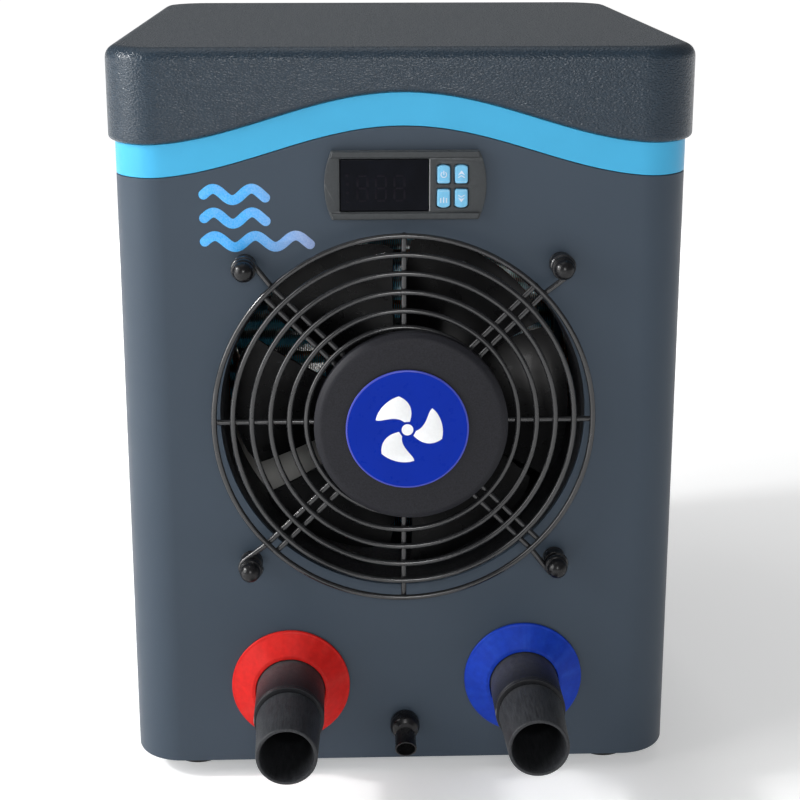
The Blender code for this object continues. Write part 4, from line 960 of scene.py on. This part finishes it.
def moved(points, x, z):
    return [(x + u * MM, z + v * MM) for u, v in points]


def key_signs(kind, x, z):
    """Outlines of a generic sign, about 4 mm wide: power, up, down or three bars."""
    if kind == "power":
        return [stroke(arc(0, -0.2, 1.45, 130, 410, 20), x, z), stroke([(0, -0.1), (0, 0.8), (0, 1.7)], x, z)]
    if kind == "mode":
        return [stroke([(u, -1.1), (u, 0), (u, top)], x, z - 0.9 * MM, 0.62)
                for u, top in ((-1.5, 0.9), (0, 1.3), (1.5, 0.9))]
    flip = KEYS[kind]
    head = [(0, 2.0 * flip), (1.9, -0.6 * flip), (0, 0.35 * flip), (-1.9, -0.6 * flip)]
    chevron = [(-1.55, -1.7 * flip), (0, -0.75 * flip), (1.55, -1.7 * flip)]
    return [moved(head, x, z), stroke(chevron, x, z)]


def make_controller():
    """A bowed frame with two rails, and the pane and keys in its openings."""
    box_low, box_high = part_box("controller_bezel")
    half_h = (box_high.z - box_low.z) / 2
    side, bulge = 38.4 * MM, 3.8 * MM
    end_r = (half_h * half_h + bulge * bulge) / (2 * bulge)
    swing = degrees(asin(half_h / end_r))
    centre = side + bulge - end_r
    ends = arc(centre, 0, end_r, -swing, swing, 24) + arc(-centre, 0, end_r, 180 - swing, 180 + swing, 24)
    pane_low, pane_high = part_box("display_window")
    pad = 0.4 * MM
    openings = [slot_outline(pane_low.x - pad, pane_high.x + pad, pane_low.z - pad, pane_high.z + pad,
                             0.5 * MM)]
    for kind, flip in KEYS.items():
        key = mid(kind + "_button")
        openings.append(key_outline(key.x, key.z, 3.75 * MM, 5.35 * MM, flip))
    face_y = FRONT_Y - 4.3 * MM
    outline = [(CTRL.x + u, CTRL.z + v) for u, v in ends]
    plated("panel_frame", "bezel", [([outline] + openings, face_y, FRONT_Y - GAP, 0.45 * MM)],
           replaces="controller_bezel")
    rails = []
    for sign in (-1, 1):
        corners = []
        for half_w, inset in ((side - 0.6 * MM, 0.15 * MM), (side + 0.6 * MM, 3.6 * MM)):
            z = CTRL.z + sign * (half_h - inset)
            row = [(CTRL.x - half_w, z, 0.4 * MM), (CTRL.x + half_w, z, 0.4 * MM)]
            corners += row[::-1] if corners else row
        rails.append(([rounded(corners, True, 4)], box_low.y, FRONT_Y - 1.3 * MM, 0.55 * MM, 3))
    plated("panel_rails", "bezel", rails)
    pane = slot_outline(pane_low.x, pane_high.x, pane_low.z, pane_high.z, 0.5 * MM)
    plated("display_pane", "screen", [([pane], pane_low.y, pane_high.y, 0.25 * MM)],
           replaces="display_window")
    bm = bmesh.new()
    edge_x = pane_high.x + pad
    block(bm, (edge_x - 0.05 * MM, face_y - 0.12 * MM, pane_low.z - 0.2 * MM),
          (edge_x + 0.5 * MM, face_y + 0.6 * MM, pane_high.z + 0.2 * MM), 0.12 * MM)
    piece("pane_trim", bm, "trim", "bezel")
    make_digits(pane_low, pane_high)
    for kind, flip in KEYS.items():
        make_key(kind, flip)


def make_key(kind, flip):
    """A key: its arched cap, the pad behind the panel and its printed sign."""
    node, body = kind + "_button", kind + "_key"
    key = mid(node)
    face = low(node).y
    bm = bmesh.new()
    plate(bm, [key_outline(key.x, key.z, 3.3 * MM, 4.9 * MM, flip)], face, FRONT_Y + 0.4 * MM, 0.7 * MM, 4)
    block(bm, (key.x - 4.1 * MM, FRONT_Y, key.z - 5.6 * MM),
          (key.x + 4.1 * MM, FRONT_Y + 1.2 * MM, key.z + 5.6 * MM), 0.2 * MM)
    piece("key_" + kind, bm, "key", body=body, replaces=node)
    plated("key_sign_" + kind, "key_ink", [([sign], face - 0.05 * MM, face + 0.3 * MM, 0.02 * MM, 1)
                                           for sign in key_signs(kind, key.x, key.z)], "key", body=body)


def make_digits(pane_low, pane_high):
    """Three unlit seven-segment digits and a row of lamps, barely visible in the dark pane."""
    w, h, t = 5.2 * MM, 13 * MM, 1.1 * MM
    z = (pane_low.z + pane_high.z) / 2 - 1.5 * MM
    bars = []
    for k in range(3):
        x = pane_low.x + (11.5 + 9.6 * k) * MM
        bars += [(x, z + level * h / 2, w / 2 - 0.7 * MM, t / 2) for level in (-1, 0, 1)]
        bars += [(x + sx * w / 2, z + sz * h / 4, t / 2, h / 4 - 0.7 * MM)
                 for sx in (-1, 1) for sz in (-1, 1)]
    lamp = 0.8 * MM
    bars += [(pane_low.x + 3.6 * MM, z + (k - 1.5) * 4.6 * MM, lamp, lamp) for k in range(4)]
    front = pane_low.y
    bm = bmesh.new()
    for x, z, half_x, half_z in bars:
        block(bm, (x - half_x, front - 0.015 * MM, z - half_z), (x + half_x, front + 0.1 * MM, z + half_z),
              0.01 * MM)
    piece("unlit_digits", bm, "segment", "screen")


# ---- water side

def make_ports():
    """Stepped hose tails with a groove at the step, and their coloured flanges."""
    for side, color in (("left", "red"), ("right", "blue")):
        tail, flange = "hose_adapter_" + side, "flange_" + color
        back, reach = proud(tail)
        bore, step = 13, 42.5
        profile = [
            (bore, back, 0.3), (17, back, 0.5), (17, GAP_MM), (18.85, GAP_MM), (19, step - 3.2, 0.2),
            (18.75, step - 2.9, 0.1), (18.75, step - 2.4, 0.1), (19, step - 2.1, 0.2),
            (19, step - 0.6, 0.5), (16.0, step - 0.6, 0.2), (16.0, step + 1.6, 0.2),
            (17.45, step + 1.6, 0.4), (17.3, step + 5), (16.1, reach, 0.9), (14.4, reach, 0.5),
            (bore + 0.7, reach - 2.2, 1), (bore, reach - 16)]
        turned("hose_tail_" + side, profile, on_front(tail), 96, "tail", closed=True, slot="black",
               replaces=tail)
        outer, hole, top = radius_mm(flange), 19.3, proud(flange)[1]
        cone = [(hole, GAP_MM), (outer, GAP_MM, 0.3), (outer, 1.7, 0.7), (outer - 1.3, 2.2, 1),
                (hole + 2.2, top - 0.4, 1.6), (hole, top, 0.5)]
        turned("flange_ring_" + color, cone, on_front(tail), 112, color, closed=True, steps=6,
               replaces=flange)


def make_nozzle():
    """The condensate outlet: a glossy dome and a thin-lipped mouth that dips forward."""
    x = mid("drain_nozzle").x
    inside = proud("drain_nozzle")[0]
    profile = [(0, inside), (5, inside, 0.4), (5, GAP_MM, 0.2), (8.2, GAP_MM, 0.3), (8.2, 5, 2.2),
               (7.2, 8.2, 2), (4.6, 9.8, 2), (0, 10)]
    body = turn(bmesh.new(), profile, (x, FRONT_Y, NOZZLE_Z), 64, steps=6)
    dip = radians(NOZZLE_DIP)
    reach = Vector((0, -cos(dip), -sin(dip)))
    start = Vector((x, FRONT_Y - 4 * MM, NOZZLE_Z - 1.5 * MM))
    long = NOZZLE_LONG_MM
    bore = bmesh.new()
    sweep(bore, [start + reach * 3 * MM, start + reach * (long + 5) * MM], 4.9 * MM, 48)
    made = cut(body, [bore], 0)
    turn(made, [(4.95, 2), (5.8, 2), (5.8, long - 1.6, 0.3), (6, long - 1.3, 0.2), (6, long, 0.3),
                (5.1, long, 0.3)], start, 56, reach, True, 4)
    piece("drain_spout", made, "gloss", "gloss_black", replaces="drain_nozzle", angle=50)


def make_gland():
    """The cable gland at the rear: a flange, a ribbed nut and its open throat."""
    box_low, box_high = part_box("cable_gland")
    centre = mid("cable_gland")
    inside, reach = (box_low.y - REAR_Y) / MM, (box_high.y - REAR_Y) / MM
    profile = [(3.8, inside), (6.2, inside, 0.3), (6.2, GAP_MM), (8.5, GAP_MM, 0.2), (8.5, 2.2, 0.3),
               (7.6, 2.5, 0.2), (7.6, 3.2, 0.2), (8.1, 3.6, 0.3), (8.1, reach - 5.5, 0.6),
               (6.8, reach - 2.5, 1.2), (5.2, reach, 0.6), (4.3, reach, 0.3), (3.8, reach - 1, 0.3)]
    bm = turn(bmesh.new(), profile, (centre.x, REAR_Y, centre.z), 72, REAR, True)
    for a in full_turn(16):
        x, z = centre.x + 7.75 * MM * cos(a), centre.z + 7.75 * MM * sin(a)
        sweep(bm, [(x, REAR_Y + 4 * MM, z), (x, REAR_Y + (reach - 5.8) * MM, z)], 0.65 * MM, 8)
    piece("gland_nut", bm, "black", replaces="cable_gland")


# ---- inside

def make_fins():
    """A pack of thin, bent, wavy-edged fins."""
    box_low, box_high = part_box("evaporator_fins")
    count, per_wave = 170, 4
    half, bend = 0.2 * MM, 0.66 * MM
    pitch_x = (box_high.x - box_low.x - 2 * half - bend) / (count - 1)
    middle = (box_low.y + box_high.y) / 2
    bm = bmesh.new()
    for k in range(count):
        x = box_low.x + half + pitch_x * k
        rings = []
        for i in range(FIN_WAVES * per_wave + 1):
            z = box_low.z + FIN_PITCH * i / per_wave
            inset = 3.2 * MM * (0.5 + 0.5 * cos(2 * pi * i / per_wave))
            y0, y1 = box_low.y + inset, box_high.y - inset
            section = [(-half, y0), (half, y0), (half + bend, middle), (half, y1), (-half, y1),
                       (-half + bend, middle)]
            rings.append([bm.verts.new((x + u, v, z)) for u, v in section])
        for a, b in zip(rings, rings[1:]):
            join(bm, a, b)
        bm.faces.new(rings[0][::-1])
        bm.faces.new(rings[-1])
    piece("fin_pack", bm, "fin", replaces="evaporator_fins", angle=30)


def make_fin_tube():
    """The serpentine copper tube through the fins."""
    box_low, box_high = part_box("evaporator_fins")
    rows, squash = 8, 0.72
    y = (box_low.y + box_high.y) / 2
    reach = box_high.x + 5 * MM
    drop = (box_high.z - box_low.z) / rows / 2
    path = [(reach + 7 * MM, y, box_low.z + drop)]
    for k in range(rows):
        z = box_low.z + drop * (2 * k + 1)
        sign = 1 if k % 2 == 0 else -1
        path += [(sign * reach, y, z), (-sign * reach, y, z)]
        if k + 1 < rows:
            path += [(-sign * (reach + u * squash), y, v)
                     for u, v in arc(0, z + drop, drop, -90, 90, 12)[1:-1]]
    path.append((reach + 7 * MM, y, box_high.z - drop))
    bm = bmesh.new()
    sweep(bm, path, 3.5 * MM, 14)
    piece("fin_tube", bm, "copper", replaces="evaporator_tube")


def soften_group():
    """Geometry nodes that weld a CAD mesh and smooth its shading below 40 degrees."""
    group = bpy.data.node_groups.new("soften", 'GeometryNodeTree')
    group.interface.new_socket("Geometry", in_out='INPUT', socket_type='NodeSocketGeometry')
    group.interface.new_socket("Geometry", in_out='OUTPUT', socket_type='NodeSocketGeometry')
    entry = group.nodes.new("NodeGroupInput")
    leave = group.nodes.new("NodeGroupOutput")
    weld = add_node("GeometryNodeMergeByDistance", {0: entry.outputs[0], "Distance": 0.01 * MM})
    faces = add_node("GeometryNodeSetShadeSmooth", {0: weld}, domain='FACE')
    angle = group.nodes.new("GeometryNodeInputMeshEdgeAngle").outputs[0]
    sharp = add_node("FunctionNodeCompare", {0: angle, 1: radians(40)}, operation='GREATER_THAN')
    edges = add_node("GeometryNodeSetShadeSmooth", {0: faces, 1: sharp, 2: False}, domain='EDGE')
    group.links.new(edges, leave.inputs[0])
    return group


KEPT = {
    "casing": "base_pan",
    "compressor": "compressor accumulator",
    "steel": "bearing_front bearing_rear fan_shaft",
    "rubber": "compressor_grommet_1 compressor_grommet_2 compressor_grommet_3",
    "board": "control_board controller_board",
    "black": "controller_housing port_nut_left port_nut_right water_inlet_pipe water_outlet_pipe",
    "copper": "discharge_line liquid_line suction_line",
    "sheet": "electrical_box electrical_cover evaporator_plate_left evaporator_plate_right run_capacitor",
    "white": "heat_exchanger_cap heat_exchanger_shell",
    "titanium": "titanium_coil",
}


def dress(obj, mat, group):
    """A better material, small bevels and smooth shading on a CAD node that stays."""
    obj.data.materials.clear()
    obj.data.materials.append(mat)
    obj.modifiers.new("Weld", 'WELD').merge_threshold = 0.01 * MM
    configure(obj.modifiers.new("Bevel", 'BEVEL'), width=0.35 * MM, segments=2, limit_method='ANGLE',
              angle_limit=radians(50))
    obj.modifiers.new("Soften", 'NODES').node_group = group
    even_normals(obj)


def dress_kept_nodes():
    group = soften_group()
    for mat, names in KEPT.items():
        for name in names.split():
            dress(NODES[name], M[mat], group)


# ---- studio

LAMPS = [
    # name, place, aim, size, watts
    ("key_left", (-1.7, -0.6, 0.9), (0, 0, 0.2), (1.2, 1.3), 31),
    ("spark", (-1.6, -0.15, 1.1), (0, 0, 0.3), (0.14, 0.14), 17),
    ("front", (0, -1.5, 0.74), (0, 0, 0.25), (0.28, 0.35), 5.5),
    ("top", (-0.2, 0.25, 1.7), (0, 0, 0.3), (1.4, 1.2), 5),
    ("rear", (0, 1.5, 0.2), (0, 0, 0.2), (0.28, 0.3), 10),
]


def make_lamps():
    for name, place, aim, size, watts in LAMPS:
        lamp = configure(bpy.data.lights.new(name, 'AREA'), shape='RECTANGLE', size=size[0],
                         size_y=size[1], energy=watts)
        turned_to = (Vector(aim) - Vector(place)).to_track_quat('-Z', 'Y').to_euler()
        configure(add_object(name, lamp), location=place, rotation_euler=turned_to)


def make_floor():
    bm = bmesh.new()
    bmesh.ops.create_grid(bm, x_segments=8, y_segments=8, size=25)
    mesh_object("studio_floor", bm, floor_paint())


def make_sky():
    """A dim grey sky with a narrow pale band at the horizon, where it meets the floor."""
    world = bpy.data.worlds.new("studio")
    world.use_nodes = True
    tree = world.node_tree
    background = tree.nodes["Background"]
    background.inputs["Color"].default_value = (1, 1, 1, 1)
    coords = tree.nodes.new("ShaderNodeTexCoord").outputs["Generated"]
    tree.links.new(remap(axis_of(coords, "Z"), 0.0, 0.07, 1.0, 0.17), background.inputs["Strength"])
    bpy.context.scene.world = world


def floor_paint():
    """A near-white sweep that glows softly far from the unit, where the lamps no longer reach."""
    mat = finish("pale_floor", (0.93, 0.93, 0.93), 0.7, 0.01, 500, specular=0.2)
    tree = mat.node_tree
    shader = tree.nodes["Principled BSDF"]
    away = add_node("ShaderNodeVectorMath", {0: object_coords(tree)}, "Value", operation='LENGTH')
    tree.links.new(remap(away, 0.3, 2.0, 0.30, 0.88), shader.inputs["Emission Strength"])
    shader.inputs["Emission Color"].default_value = (1, 1, 1, 1)
    return mat


def make_camera():
    """A camera a little left of the middle and above the lid, looking down at the front."""
    focal_px, frame_px, sensor = 1670, 800, 36
    data = configure(bpy.data.cameras.new("camera"), sensor_width=sensor, shift_y=-0.1,
                     lens=focal_px / frame_px * sensor)
    bpy.context.scene.camera = configure(
        add_object("camera", data), location=(-31.3 * MM, FRONT_Y - 860 * MM, 490.5 * MM),
        rotation_euler=(radians(90 - 14.5), 0, radians(-1.97)))


# ---- build

make_camera()
make_floor()
make_sky()
make_lamps()
bpy.context.scene.view_settings.view_transform = 'Standard'
make_casings()
make_band()
make_lid()
make_motif()
make_feet()
make_rear_grille()
make_guard()
make_hub()
make_posts()
make_shroud()
make_rotor()
make_motor()
make_controller()
make_ports()
make_nozzle()
make_gland()
make_fins()
make_fin_tube()
dress_kept_nodes()
